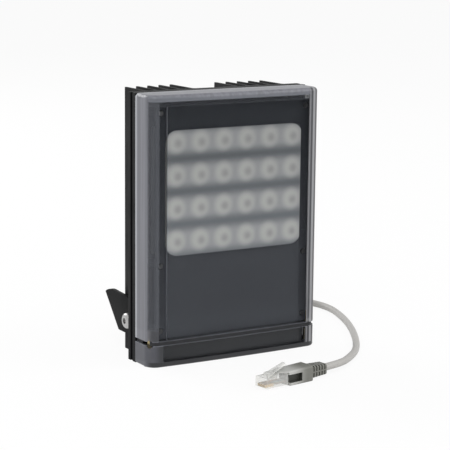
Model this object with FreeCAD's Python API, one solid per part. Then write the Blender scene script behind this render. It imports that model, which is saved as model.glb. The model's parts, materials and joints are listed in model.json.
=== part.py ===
"""Infrared illuminator: finned lamp housing with a clear cover, a tilting bracket and a short network lead.

Millimetres. +X right, +Y back to the fins, +Z up. The origin is the middle of the heat sink's base plate
at its bottom end, on which the lamp stands. The cover seats on the base plate's front face at y = seat.
"""
import FreeCAD, Part
import math
import os

V = FreeCAD.Vector
X, Y, Z = V(1, 0, 0), V(0, 1, 0), V(0, 0, 1)

# Overall sizes of the housing
housing_width = 136.0
housing_height = 186.0
cover_depth = 21.1
front_bow = 1.3
corner_radius = 8.0
cover_wall = 2.5
cover_top_fillet = 2.8
cover_flange = 6.5
cover_flange_thickness = 3.0
cover_web_thickness = 2.4
gasket_depth = 1.0
gasket_edge_gap = 0.8

# Clearances
fit = 0.05
slide_gap = 0.3
face_gap = 0.02
seal_gap = 0.1
through = 1.0
fused_overlap = 0.5
screw_tip_gap = 0.5
pan_head_taper = 0.8

# Heat sink, one length of extruded section
sink_base_depth = 11.0
sink_recess_depth = 3.0
sink_rail_width = 12.0
sink_pocket_end = 6.8
sink_pocket_radius = 4.0
sink_edge_fillet = 0.8
side_groove_width = 3.0
side_groove_depth = 1.0
fins_each_side = 5
fin_pitch = 9.15
fin_side_inset = 13.15
fin_reach = 42.1
fin_reach_loss = 2.5
fin_root_thickness = 2.8
fin_tip_thickness = 1.9
fin_root_fillet = 1.2

# Bottom cap and the slot that it closes
cap_height = 15.2
cap_slot_height = 2.8
cap_wall = 2.5
cap_bottom_fillet = 1.4
cap_liner_side_gap = 11.0
cap_liner_wall = 2.0
cap_rib_places = (-28.0, 0.0, 28.0)
cap_rib_thickness = 1.6
cap_rib_setback = 5.0
cap_rib_drop = 3.0
cap_seal_inset = 1.2
cap_seal_width = 5.3
cap_seal_back_width = 6.0
cap_screw_inset = 4.4
cap_screw_y = 12.4
cap_screw_radius = 1.5
cap_screw_head_radius = 2.8
cap_screw_head_height = 2.0
cap_screw_length = 22.0
cap_boss_radius = 3.1
cap_pillar_radius = 3.8
cap_screw_recess = 0.6
screw_hole_spare = 0.4
cap_boss_height = 9.5

# Window, bezel and sheets
window_side_border = 7.2
window_top_border = 16.9
window_corner_radius = 9.0
bezel_side_gap = 6.8
bezel_thickness = 2.0
bezel_front_setback = 4.3
bezel_end_gap = 0.6
bezel_top_gap = 8.0
bezel_lip_depth = 4.5
bezel_lip_thickness = 1.4
bezel_lip_gap = 0.4
bezel_edge_fillet = 1.0
diffuser_thickness = 1.2
diffuser_overlap = 2.4
diffuser_side_overlap = 1.2
insert_side_gap = 0.8
insert_thickness = 1.3
insert_top_gap = 0.4
insert_foot_gap = 0.1
bezel_screw_inset = 3.6
bezel_screw_from_bottom = (5.9, 50.9)
bezel_screw_from_top = 4.6
bezel_screw_radius = 1.25
bezel_screw_head_radius = 2.1
bezel_screw_head_height = 1.2
bezel_screw_sunk = 0.6
bezel_screw_bite = 6.0
bezel_pillar_radius = 2.6

# Light-emitting diodes, their lenses and board
led_columns = 6
led_rows = 4
lens_field_margin_x = 1.5
lens_field_margin_z = 2.05
led_side = 3.5
led_height = 1.9
led_base_height = 0.95
led_window_side = 2.45
lens_radius = 7.4
lens_base_radius = 4.6
lens_length = 14.0
lens_rim = 1.4
led_board_side_gap = 1.0
led_board_drop = 1.0
led_board_rise = 1.5
board_thickness = 1.6
board_corner_radius = 2.0
thermal_pad_thickness = 0.6
thermal_pad_inset = 1.0
board_screw_column = 2
board_screw_radius = 1.25
board_screw_head_radius = 2.2
board_screw_head_height = 1.5
board_screw_bite = 5.0

# Driver board and what is soldered to it
driver_side_gap = 6.0
driver_rise = 3.0
driver_height = 50.0
driver_top_gap = 3.6
driver_notch_gap = 1.5
standoff_height = 4.6
standoff_radius = 2.6
standoff_inset = 4.0
transformer_size = (18.0, 8.2, 15.0)
transformer_core_width = 9.9
transformer_winding_size = (18.0, 5.9, 9.3)
transformer_winding_fillet = 1.2
transformer_from_corner = (23.0, 24.0)
inductor_radius = 6.5
inductor_hole_radius = 2.6
inductor_height = 5.5
inductor_place = (-2.0, 36.0)
capacitor_radius = 3.15
capacitor_height = 8.0
capacitor_places = ((14.0, 33.0), (22.0, 33.0), (14.0, 60.0), (22.0, 60.0))
transistor_size = (6.6, 2.3, 6.1)
transistor_tab_size = (5.3, 0.5, 9.8)
transistor_tab_rise = 1.5
transistor_from_edge = 16.0
transistor_rises = (14.0, 25.0, 36.0)
header_size = (20.0, 6.0, 5.8)
header_from_corner = (24.0, 43.0)
header_pins = 8
header_pin_pitch = 2.0
header_pin_side = 0.6
header_wall = 0.9
header_floor = 1.5
link_inset = 10.0
link_gap = 3.0
link_lead_radius = 0.8
link_lead_rise = 3.0
link_on_board = 2.0
link_on_driver = 4.0

# Cable gland through the base plate, in the channel between the fins
gland_below_board = 10.6
gland_thread_radius = 6.0
gland_bore_radius = 3.6
gland_hex_flats = 15.0
gland_hex_length = 5.0
gland_neck_radius = 6.4
gland_neck_length = 5.0
gland_dome_radius = 8.0
gland_dome_length = 12.0
gland_dome_straight = 7.2
gland_dome_mouth_radius = 5.8
gland_dome_bore_radius = 3.5
gland_dome_gap = 0.2
gland_nut_flats = 15.0
gland_nut_length = 3.0
gland_seal_radius = 5.0
gland_seal_depth = 6.0
gland_seal_proud = 2.4

# Cord
cord_radius = 2.5
cord_start_in_gland = 3.6
lead_wire_radius = 0.8
lead_wire_loop = 2.8
lead_wire_pairs = 4
lead_wire_pitch = 2.2
lead_wire_spread = 4.0
lead_wire_entry = 0.6

# Bracket, folded from one strip of steel
bracket_thickness = 2.5
bracket_arm_gap = 2.45
bracket_blank_length = 60.0
bracket_fold_radius = 3.5
pivot_y = 20.5
pivot_z = 23.0
plate_tilt = 40.5
plate_outer_offset = 20.5
plate_bottom_offset = 4.8
plate_width = 23.6
bracket_centre_hole_radius = 4.25
bracket_side_hole_radius = 3.25
bracket_side_hole_x = 36.0
arm_back_height = 29.6
arm_nose_radius = 9.8
arm_top_start = 4.0
arm_top_rise = 16.6
arm_top_end = (22.0, 17.6)
arm_crest = (31.8, 16.3)
pivot_hole_radius = 3.25
pivot_screw_radius = 3.0
pivot_head_radius = 5.6
pivot_head_height = 3.3
pivot_head_fillet = 2.475
pivot_socket_flats = 4.0
pivot_socket_depth = 2.0
pivot_washer_radius = 6.2
pivot_screw_past_nut = 0.3
nut_flats = 10.0
nut_height = 4.0
spring_washer_height = 1.5
spring_washer_radius = 5.2
spring_washer_gap = 1.0

# Screws that hold the cover from behind
cover_screw_inset = 6.4
cover_screw_from_bottom = (26.0, 82.0)
cover_screw_from_top = 26.0
cover_screw_radius = 2.0
cover_screw_head_radius = 3.7
cover_screw_head_height = 2.5
cover_boss_radius = 3.6
cover_boss_height = 7.0
cover_screw_bite = 5.5

# Network plug and its boot, lying on the floor. Lengths run from the front of the boot's block
plug_width = 11.7
plug_height = 8.0
plug_length = 18.4
plug_back = 11.9
plug_lift = 1.4
plug_wall = 1.2
plug_roof = 1.6
plug_step_length = 7.0
plug_step_depth = 1.3
plug_front_block = 9.0
plug_latch_length = 18.0
plug_latch_width = 6.2
plug_latch_thickness = 1.1
plug_latch_angle = 20.0
plug_latch_setback = 3.2
plug_contact_count = 8
plug_contact_pitch = 1.02
plug_contact_size = (7.0, 0.35, 2.4)
plug_contact_setback = 0.5
plug_wire_radius = 0.45
boot_width = 13.2
boot_height = 10.8
boot_edge_fillet = 1.4
boot_block_length = 9.5
boot_arm_thickness = 2.9
boot_tongue_length = 18.3
boot_tongue_thickness = 0.6
boot_tongue_width = 6.8
boot_chin_length = 9.9
boot_chin_thickness = 2.2
boot_spine_width = 7.4
boot_tail_length = 14.6
boot_tail_front = (10.6, 8.4)
boot_tail_end = (8.8, 7.4)
boot_tail_fillet = 1.6
boot_slots = 5
boot_slot_pitch = 2.6
boot_slot_width = 1.2
boot_slot_core = 6.2
boot_slot_rib = 0.8
boot_bore_gap = 0.3
boot_bore_height = 5.4
cord_in_boot = 2.5
boot_joint = V(2.5, -99.5, 0.0)
plug_heading = 189.2

seat = -sink_base_depth / 2
base_back = sink_base_depth / 2
half_width = housing_width / 2
recess_floor = seat + sink_recess_depth
recess_half_width = half_width - sink_rail_width
cover_bottom = cap_height + cap_slot_height
outer_fin_x = half_width - fin_side_inset
channel_between_fins = 2 * (outer_fin_x - (fins_each_side - 1) * fin_pitch)
bracket_arm_inside = outer_fin_x + bracket_arm_gap
cap_screw_x = half_width - cap_screw_inset
cap_liner_half_width = half_width - cap_liner_side_gap
cover_screw_x = half_width - cover_screw_inset
cover_screw_heights = [cover_bottom + z for z in cover_screw_from_bottom]
cover_screw_heights.append(housing_height - cover_screw_from_top)
bezel_half_width = half_width - bezel_side_gap
bezel_front = seat - cover_depth + bezel_front_setback
bezel_back = bezel_front + bezel_thickness
bezel_bottom = cover_bottom + bezel_end_gap
bezel_top = housing_height - bezel_top_gap
bezel_screw_x = bezel_half_width - bezel_screw_inset
bezel_screw_heights = [bezel_bottom + z for z in bezel_screw_from_bottom]
bezel_screw_heights.append(bezel_top - bezel_screw_from_top)
window_half_width = bezel_half_width - window_side_border
driver_bottom = cover_bottom + driver_rise
window_bottom = driver_bottom + driver_height + driver_top_gap + led_board_drop
window_height = bezel_top - window_top_border - window_bottom
window_middle = window_bottom + window_height / 2
insert_half_width = window_half_width - insert_side_gap
insert_height = bezel_top - insert_top_gap - cover_bottom - insert_foot_gap
led_pitch_x = 2 * (window_half_width + lens_field_margin_x) / led_columns
led_pitch_z = (window_height + 2 * lens_field_margin_z) / led_rows
led_board_half_width = recess_half_width - led_board_side_gap
led_board_bottom = window_bottom - led_board_drop
led_board_height = window_height + led_board_drop + led_board_rise
driver_half_width = recess_half_width - driver_side_gap
transformer_place = (transformer_from_corner[0] - driver_half_width,
                     driver_bottom + transformer_from_corner[1])
header_place = (header_from_corner[0] - driver_half_width, driver_bottom + header_from_corner[1])
transistor_places = [(driver_half_width - transistor_from_edge, driver_bottom + z) for z in transistor_rises]
link_x = driver_half_width - link_inset
gland_height = led_board_bottom - gland_below_board
pad_front = recess_floor - thermal_pad_thickness
led_board_front = pad_front - board_thickness
driver_back = recess_floor - standoff_height
driver_front = driver_back - board_thickness
cap_screw_tip = cap_screw_recess + cap_screw_head_height + cap_screw_length
plug_nose = plug_back + plug_length
plug_middle = plug_lift + plug_height / 2
plug_along = V(math.cos(math.radians(plug_heading)), math.sin(math.radians(plug_heading)), 0)
pivot_nut_start = outer_fin_x - fin_root_thickness / 2 - spring_washer_height - nut_height - 3 * face_gap
tilt = math.radians(plate_tilt)
plate_up = V(0, math.sin(tilt), math.cos(tilt))
plate_out = V(0, math.cos(tilt), -math.sin(tilt))

# Route of the cord, from inside the gland to the boot
cord_route = [
    V(0, base_back + cord_start_in_gland, gland_height), V(0, 46, gland_height), V(21, 76, 57), V(58, 96, 36),
    V(98, 98, 14), V(128, 80.5, 4), V(137, 58.5, 2.7), V(127, 24.5, 2.5), V(112, -8.5, 2.6),
    V(94, -39.5, 2.5), V(77.5, -62, 2.8), V(60, -78.5, 3.8), V(44, -91.4, 5.2),
]


def box(x0, x1, y0, y1, z0, z1):
    """A box between two corners."""
    return Part.makeBox(x1 - x0, y1 - y0, z1 - z0, V(x0, y0, z0))


def rod(radius, base, direction, length):
    """A round rod from base along direction."""
    return Part.makeCylinder(radius, length, base, direction)


def tube(outer, inner, base, direction, length):
    """A round tube from base along direction."""
    return rod(outer, base, direction, length).cut(rod(inner, base, direction, length))


def hexagon(flats, base, direction, length):
    """A hexagonal prism from base along direction."""
    side = V(0, 0, 1) if abs(direction.z) < 0.5 else V(1, 0, 0)
    across = direction.cross(side)
    radius = flats / math.sqrt(3)
    points = [base + side * radius * math.cos(k * math.pi / 3) + across * radius * math.sin(k * math.pi / 3)
              for k in range(7)]
    return Part.Face(Part.makePolygon(points)).extrude(direction * length)


def fused(shapes):
    """One solid from shapes that touch or overlap."""
    first, rest = shapes[0], shapes[1:]
    return first.multiFuse(rest).removeSplitter() if rest else first


def group(shapes):
    """Separate solids kept together as one sub-part."""
    return Part.makeCompound(shapes)


def mirrored(shape):
    """The same shape on the other side of the middle plane."""
    return shape.mirror(V(0, 0, 0), X)


def both_sides(shape):
    """A shape and its mirror image, as a list."""
    return [shape, mirrored(shape)]


def rounded_plate(half_x, z0, z1, radius, y0, y1):
    """An upright plate with rounded corners, from y0 to y1."""
    plate = box(-half_x, half_x, y0, y1, z0, z1)
    upright = [e for e in plate.Edges if abs(e.tangentAt(e.FirstParameter).y) > 0.99]
    return plate.makeFillet(radius, upright)


def housing_outline(inset, z0, z1, back=seat):
    """A solid with the cover's outline, set in by inset all round, from back to the bowed front."""
    half_flat = half_width - corner_radius
    front_radius = (half_flat ** 2 + front_bow ** 2) / (2 * front_bow)
    front_centre = V(0, seat - cover_depth - front_bow + front_radius, 0)
    reach = math.sqrt((front_radius - corner_radius) ** 2 - half_flat ** 2)
    corner_centre = V(-half_flat, front_centre.y - reach, 0)
    away = (corner_centre - front_centre).normalize()
    r = corner_radius - inset
    side = -(half_width - inset)
    touch = corner_centre + away * r
    bisector = (away + V(-1, 0, 0)).normalize()
    a, b = V(side, back, 0), V(side, corner_centre.y, 0)
    middle = V(0, front_centre.y - (front_radius - inset), 0)
    flip = lambda p: V(-p.x, p.y, p.z)
    edges = [
        Part.LineSegment(a, b).toShape(),
        Part.Arc(b, corner_centre + bisector * r, touch).toShape(),
        Part.Arc(touch, middle, flip(touch)).toShape(),
        Part.Arc(flip(touch), flip(corner_centre + bisector * r), flip(b)).toShape(),
        Part.LineSegment(flip(b), flip(a)).toShape(),
        Part.LineSegment(flip(a), a).toShape(),
    ]
    solid = Part.Face(Part.Wire(edges)).extrude(Z * (z1 - z0))
    solid.translate(Z * z0)
    return solid


def edges_at_height(shape, z, keep=lambda e: True):
    """The shape's edges that lie wholly at height z."""
    return [e for e in shape.Edges
            if abs(e.BoundBox.ZMin - z) < 1e-4 and abs(e.BoundBox.ZMax - z) < 1e-4 and keep(e)]


def off_seat(edge):
    """Whether an edge lies clear of the seat plane."""
    return abs(edge.CenterOfMass.y - seat) > 1e-3


def upright_edges(shape, keep=lambda e: True):
    """The shape's straight edges along Z."""
    return [e for e in shape.Edges if abs(e.tangentAt(e.FirstParameter).z) > 0.99 and keep(e)]


def fin_places():
    """Middle and reach of each fin."""
    for k in range(fins_each_side):
        x = channel_between_fins / 2 + k * fin_pitch
        reach = fin_reach - fin_reach_loss * (x / outer_fin_x) ** 2
        yield x, seat + reach


def fin_section(x, tip):
    """One fin's section: flared where it leaves the base plate, tapered, and round at its tip."""
    half_root, half_tip = fin_root_thickness / 2, fin_tip_thickness / 2
    flare, shoulder = half_root + fin_root_fillet, tip - half_tip
    root, neck = base_back - fused_overlap, base_back + fin_root_fillet
    corners = [V(x - half_tip, shoulder, 0), V(x - half_root, neck, 0), V(x - flare, base_back, 0),
               V(x - flare, root, 0), V(x + flare, root, 0), V(x + flare, base_back, 0),
               V(x + half_root, neck, 0), V(x + half_tip, shoulder, 0)]
    edges = [Part.LineSegment(a, b).toShape() for a, b in zip(corners, corners[1:])]
    edges.append(Part.Arc(corners[-1], V(x, tip, 0), corners[0]).toShape())
    return Part.Face(Part.Wire(edges))


def heat_sink():
    """Extruded aluminium: base plate, side grooves and ten tapered fins, with a pocket in its front."""
    height = housing_height
    base = box(-half_width, half_width, seat, base_back, 0, height)
    base = base.makeFillet(sink_edge_fillet, upright_edges(base, lambda e: e.CenterOfMass.y > 0))
    base = base.cut(rounded_plate(recess_half_width, cover_bottom + bezel_end_gap, height - sink_pocket_end,
                                  sink_pocket_radius, seat - 1, recess_floor))
    groove = box(half_width - side_groove_depth, half_width + through,
                 -side_groove_width / 2, side_groove_width / 2, -through, height + through)
    for cut in both_sides(groove):
        base = base.cut(cut)
    fins = []
    for x, tip in fin_places():
        fins += both_sides(fin_section(x, tip).extrude(Z * height))
    sink = fused([base] + fins)
    deep = sink_base_depth + 2 * through
    holes = [rod(gland_thread_radius + fit, V(0, seat - through, gland_height), Y, deep)]
    for z in cover_screw_heights:
        holes += both_sides(rod(cover_screw_radius + fit, V(cover_screw_x, seat - through, z), Y, deep))
    for x, y, z in bezel_screw_places():
        holes.append(rod(bezel_screw_radius + fit, V(x, seat - through, z), Y, through + bezel_screw_bite))
    for x, z in board_screw_places() + driver_hole_places():
        holes.append(rod(board_screw_radius + fit, V(x, recess_floor - through, z), Y,
                         through + board_screw_bite))
    pivot = V(outer_fin_x - fin_pitch / 2, pivot_y, pivot_z)
    holes += both_sides(rod(pivot_screw_radius + fit, pivot, X, fin_pitch))
    for hole in holes:
        sink = sink.cut(hole)
    return sink


def cover_boss_places():
    """The cover's six screw bosses."""
    return [(side * cover_screw_x, z) for side in (-1, 1) for z in cover_screw_heights]


def front_cover():
    """Clear moulded cover: top, sides and bowed front in one, with a flange and screw bosses inside."""
    outer = housing_outline(0, cover_bottom, housing_height)
    outer = outer.makeFillet(cover_top_fillet, edges_at_height(outer, housing_height, off_seat))
    inner = housing_outline(cover_wall, cover_bottom - through, housing_height - cover_wall, seat + through)
    cover = outer.cut(inner)
    flange = housing_outline(cover_wall / 2, cover_bottom, housing_height - cover_wall / 2)
    flange = flange.common(box(-half_width, half_width, seat - cover_flange_thickness, seat,
                               cover_bottom, housing_height))
    opening = box(-half_width + cover_flange, half_width - cover_flange,
                  seat - cover_flange_thickness - through, seat + through,
                  cover_bottom - through, housing_height - cover_flange)
    parts = [cover, flange.cut(opening)]
    for x, z in cover_boss_places():
        boss = rod(cover_boss_radius, V(x, seat - cover_boss_height, z), Y, cover_boss_height)
        web_end = math.copysign(half_width - cover_wall / 2, x)
        web = box(min(x, web_end), max(x, web_end), seat - cover_boss_height, seat,
                  z - cover_web_thickness / 2, z + cover_web_thickness / 2)
        parts += [boss, web]
    for x in (-cap_screw_x, cap_screw_x):
        boss = rod(cap_boss_radius, V(x, seat - cap_screw_y, cover_bottom), Z, cap_boss_height)
        parts.append(boss.common(housing_outline(0, cover_bottom, housing_height)))
    cover = fused(parts).cut(gasket_band(seat - gasket_depth))
    for x, z in cover_boss_places():
        cover = cover.cut(rod(cover_screw_radius + fit, V(x, seat - cover_screw_bite, z), Y,
                              cover_screw_bite + through))
    depth = cap_screw_tip - cover_bottom + screw_hole_spare + through
    for x in (-cap_screw_x, cap_screw_x):
        at = V(x, seat - cap_screw_y, cover_bottom - through)
        cover = cover.cut(rod(cap_screw_radius + fit, at, Z, depth))
    return cover


def gasket_band(front):
    """The gasket's band round the cover's sides and top, from front back to the seat."""
    outside = half_width - cover_wall
    inside = half_width - cover_flange + gasket_edge_gap
    band = box(-outside, outside, front, seat, cover_bottom, housing_height - cover_wall)
    band = band.cut(box(-inside, inside, front - through, seat + through, cover_bottom - through,
                        housing_height - cover_flange + gasket_edge_gap))
    for x, z in cover_boss_places():
        band = band.cut(rod(cover_boss_radius, V(x, front - through, z), Y, gasket_depth + 2 * through))
    return band


def cover_gasket():
    """Rubber gasket laid in the relief behind the cover's flange, between the screw bosses."""
    return group(gasket_band(seat - gasket_depth + seal_gap).Solids)


def bottom_cap():
    """Clear moulded cap under the cover, closed below, with two screw pillars."""
    outer = housing_outline(0, 0, cap_height)
    outer = outer.makeFillet(cap_bottom_fillet, edges_at_height(outer, 0, off_seat))
    cap = outer.cut(housing_outline(cap_wall, cap_wall, cap_height + through, seat - cap_wall))
    pillars = []
    for x in (-cap_screw_x, cap_screw_x):
        pillar = rod(cap_pillar_radius, V(x, seat - cap_screw_y, 0), Z, cap_height)
        pillars.append(pillar.common(housing_outline(0, 0, cap_height)))
    cap = fused([cap] + pillars)
    for x in (-cap_screw_x, cap_screw_x):
        at = V(x, seat - cap_screw_y, -through)
        cap = cap.cut(rod(cap_screw_radius + fit, at, Z, cap_height + 2 * through))
        cap = cap.cut(rod(cap_screw_head_radius + fit, at, Z,
                          through + cap_screw_recess + cap_screw_head_height))
    return cap


def cap_liner():
    """Dark moulded liner in the cap, a shallow tray open at the top, with three ribs."""
    clear = cap_wall + slide_gap
    half = cap_liner_half_width
    outer = housing_outline(clear, clear, cap_height - slide_gap, seat - clear)
    outer = outer.common(box(-half, half, seat - 2 * cover_depth, seat, 0, cap_height))
    wall = clear + cap_liner_wall
    inner = housing_outline(wall, wall, cap_height + through, seat - wall)
    inner = inner.common(box(-half + cap_liner_wall, half - cap_liner_wall, seat - 2 * cover_depth, seat,
                             0, cap_height + through))
    ribs = [box(x - cap_rib_thickness / 2, x + cap_rib_thickness / 2, seat - cover_depth + cap_rib_setback,
                seat - clear - fused_overlap, clear + fused_overlap, cap_height - cap_rib_drop)
            for x in cap_rib_places]
    return fused([outer.cut(inner)] + ribs)


def cap_seal():
    """Black seal in the slot between cap and cover, notched at the screws."""
    seal = housing_outline(cap_seal_inset, cap_height + face_gap, cover_bottom - face_gap, seat - slide_gap)
    low, high = cap_height - through, cover_bottom + through
    seal = seal.cut(housing_outline(cap_seal_inset + cap_seal_width, low, high, seat - cap_seal_back_width))
    for x in (-cap_screw_x, cap_screw_x):
        seal = seal.cut(rod(cap_boss_radius, V(x, seat - cap_screw_y, low), Z, high - low))
        way = math.copysign(half_width + through, x)
        seal = seal.cut(box(min(x, way), max(x, way), seat - cap_screw_y - cap_boss_radius,
                            seat - cap_screw_y + cap_boss_radius, low, high))
    return group(seal.Solids)


def pan_screw(radius, head_radius, head_height, length, tip, direction):
    """A screw whose head's underside is at tip minus direction times length, its head slightly coned."""
    under = tip - direction * length
    head = Part.makeCone(head_radius * pan_head_taper, head_radius, head_height,
                         under - direction * head_height, direction)
    return fused([head, rod(radius, under - direction * fused_overlap, direction, length + fused_overlap)])


def cap_screws():
    """Two brass screws up through the cap into the cover's corner bosses."""
    made = []
    for x in (-cap_screw_x, cap_screw_x):
        tip = V(x, seat - cap_screw_y, cap_screw_tip)
        made.append(pan_screw(cap_screw_radius, cap_screw_head_radius, cap_screw_head_height,
                              cap_screw_length, tip, Z))
    return group(made)


def cover_screws():
    """Six screws from behind through the base plate into the cover's bosses."""
    length = sink_base_depth + cover_screw_bite - screw_tip_gap
    return group([pan_screw(cover_screw_radius, cover_screw_head_radius, cover_screw_head_height, length,
                            V(x, base_back - length, z), -Y) for x, z in cover_boss_places()])


def bezel_screw_places():
    """The bezel's six screws: x, y of the bezel face, z."""
    return [(side * bezel_screw_x, bezel_front, z) for side in (-1, 1) for z in bezel_screw_heights]


def bezel():
    """Black moulded bezel: a plate with the lamp window, a stiffening lip and six screw pillars."""
    plate = box(-bezel_half_width, bezel_half_width, bezel_front, bezel_back, bezel_bottom, bezel_top)
    plate = plate.makeFillet(bezel_edge_fillet,
                             upright_edges(plate, lambda e: e.CenterOfMass.y < bezel_front + fit))
    lip_x = window_half_width + diffuser_overlap + bezel_lip_gap
    lip = box(-lip_x, lip_x, bezel_back, bezel_back + bezel_lip_depth, bezel_bottom, bezel_top)
    lip = lip.cut(box(-lip_x + bezel_lip_thickness, lip_x - bezel_lip_thickness, bezel_back - through, seat,
                      bezel_bottom + bezel_lip_thickness, bezel_top - bezel_lip_thickness))
    parts = [plate, lip]
    for x, y, z in bezel_screw_places():
        parts.append(rod(bezel_pillar_radius, V(x, bezel_front + fused_overlap, z), Y,
                         seat - seal_gap - bezel_front - fused_overlap))
    moulding = fused(parts)
    moulding = moulding.cut(rounded_plate(window_half_width, window_bottom, window_bottom + window_height,
                                          window_corner_radius, bezel_front - through, bezel_back + through))
    for x, y, z in bezel_screw_places():
        at = V(x, bezel_front - through, z)
        moulding = moulding.cut(rod(bezel_screw_radius + fit, at, Y, cover_depth))
        moulding = moulding.cut(rod(bezel_screw_head_radius + seal_gap, at, Y, through + bezel_screw_sunk))
    return moulding


def bezel_screws():
    """Six small screws through the bezel's pillars into the base plate's rails."""
    length = seat - bezel_front - bezel_screw_sunk + bezel_screw_bite - screw_tip_gap
    made = []
    for x, y, z in bezel_screw_places():
        tip = V(x, bezel_front + bezel_screw_sunk + length, z)
        made.append(pan_screw(bezel_screw_radius, bezel_screw_head_radius, bezel_screw_head_height,
                              length, tip, Y))
    return group(made)


def window_diffuser():
    """Frosted sheet held behind the bezel's window."""
    y0 = bezel_back + fit
    return rounded_plate(window_half_width + diffuser_side_overlap, window_bottom - diffuser_overlap,
                         window_bottom + window_height + diffuser_overlap,
                         window_corner_radius, y0, y0 + diffuser_thickness)


def lens_insert():
    """Clear beam-shaping sheet that slides in front of the bezel when the cap is off."""
    y1 = bezel_front - fit
    foot = cover_bottom + insert_foot_gap
    return box(-insert_half_width, insert_half_width, y1 - insert_thickness, y1, foot, foot + insert_height)


def led_places():
    """Middle of each diode, column by column."""
    for i in range(led_columns):
        for k in range(led_rows):
            yield ((i - (led_columns - 1) / 2) * led_pitch_x,
                   window_middle + (k - (led_rows - 1) / 2) * led_pitch_z)


def board_screw_places():
    """Screws that hold the diode board down, between its lens rows."""
    x = led_pitch_x * board_screw_column
    return [(side * x, window_middle + row * led_pitch_z) for side in (-1, 1) for row in (-1, 1)]


def thermal_pad():
    """Thermal pad between the diode board and the recess floor."""
    pad = rounded_plate(led_board_half_width - thermal_pad_inset, led_board_bottom + thermal_pad_inset,
                        led_board_bottom + led_board_height - thermal_pad_inset,
                        board_corner_radius, pad_front, recess_floor)
    for x, z in board_screw_places():
        pad = pad.cut(rod(board_screw_radius + slide_gap, V(x, pad_front - through, z), Y,
                          thermal_pad_thickness + 2 * through))
    return pad


def led_board():
    """Aluminium-backed circuit board that carries the diodes."""
    board = rounded_plate(led_board_half_width, led_board_bottom, led_board_bottom + led_board_height,
                          board_corner_radius, led_board_front, pad_front)
    for x, z in board_screw_places():
        board = board.cut(rod(board_screw_radius + fit, V(x, led_board_front - through, z), Y,
                              board_thickness + 2 * through))
    return board


def board_screws():
    """Four screws that hold the diode board down."""
    length = board_thickness + thermal_pad_thickness + board_screw_bite - screw_tip_gap
    return group([pan_screw(board_screw_radius, board_screw_head_radius, board_screw_head_height, length,
                            V(x, led_board_front + length, z), Y) for x, z in board_screw_places()])


def led_emitters():
    """Twenty-four diode packages, each a square base with a smaller raised window."""
    made = []
    half, top = led_side / 2, led_window_side / 2
    middle = led_board_front - led_base_height
    for x, z in led_places():
        package = box(x - half, x + half, middle, led_board_front, z - half, z + half)
        window = box(x - top, x + top, led_board_front - led_height, middle, z - top, z + top)
        made.append(fused([package, window]))
    return group(made)


def led_lens(x, z):
    """One collimator lens: a cup that widens to a straight rim, hollow at the back for the diode."""
    back = led_board_front - fit
    cup = Part.makeCone(lens_base_radius, lens_radius, lens_length - lens_rim, V(x, back, z), -Y)
    rim = rod(lens_radius, V(x, back - lens_length + lens_rim, z), -Y, lens_rim)
    half = led_side / 2 + slide_gap
    hollow = box(x - half, x + half, back - led_height - slide_gap, back + through, z - half, z + half)
    return fused([cup, rim]).cut(hollow)


def led_lenses():
    """Twenty-four collimator lenses over the diodes."""
    return group([led_lens(x, z) for x, z in led_places()])


def driver_hole_places():
    """The driver board's four corners."""
    x = driver_half_width - standoff_inset
    heights = (driver_bottom + standoff_inset, driver_bottom + driver_height - standoff_inset)
    return [(side * x, z) for side in (-1, 1) for z in heights]


def driver_board():
    """Driver circuit board on its standoffs, below the diodes, notched round the gland."""
    top = driver_bottom + driver_height
    board = rounded_plate(driver_half_width, driver_bottom, top, board_corner_radius,
                          driver_front, driver_back)
    half = gland_nut_flats / 2 + driver_notch_gap
    board = board.cut(box(-half, half, driver_front - through, driver_back + through,
                          gland_height - half, top + through))
    for x, z in driver_hole_places():
        board = board.cut(rod(board_screw_radius + fit, V(x, driver_front - through, z), Y,
                              board_thickness + 2 * through))
    return board


def board_standoffs():
    """Four spacers between the driver board and the recess floor."""
    return group([tube(standoff_radius, board_screw_radius + fit, V(x, driver_back, z), Y, standoff_height)
                  for x, z in driver_hole_places()])


def driver_screws():
    """Four screws through the driver board and its standoffs."""
    length = board_thickness + standoff_height + board_screw_bite - screw_tip_gap
    return group([pan_screw(board_screw_radius, board_screw_head_radius, board_screw_head_height, length,
                            V(x, driver_front + length, z), Y) for x, z in driver_hole_places()])


def on_driver(size, place):
    """A block standing on the front of the driver board."""
    (x, z), (wide, tall, high) = place, size
    return box(x - wide / 2, x + wide / 2, driver_front - tall, driver_front, z - high / 2, z + high / 2)


def transformer():
    """Isolating transformer: a bobbin between two core halves."""
    tall, high = transformer_size[1:]
    core = on_driver((transformer_core_width, tall, high), transformer_place)
    winding = on_driver(transformer_winding_size, transformer_place)
    winding = winding.makeFillet(transformer_winding_fillet,
                                 [e for e in winding.Edges if abs(e.tangentAt(e.FirstParameter).y) > 0.99])
    return fused([core, winding])


def inductor():
    """Ring choke lying flat on the driver board."""
    x, z = inductor_place
    return tube(inductor_radius, inductor_hole_radius, V(x, driver_front, z), -Y, inductor_height)


def capacitors():
    """Electrolytic capacitors."""
    return group([rod(capacitor_radius, V(x, driver_front, z), -Y, capacitor_height)
                  for x, z in capacitor_places])


def power_transistors():
    """Surface-mounted transistors with their tabs."""
    made = []
    for x, z in transistor_places:
        body = on_driver(transistor_size, (x, z))
        tab = on_driver(transistor_tab_size, (x, z + transistor_tab_rise))
        made.append(fused([body, tab]))
    return group(made)


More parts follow.
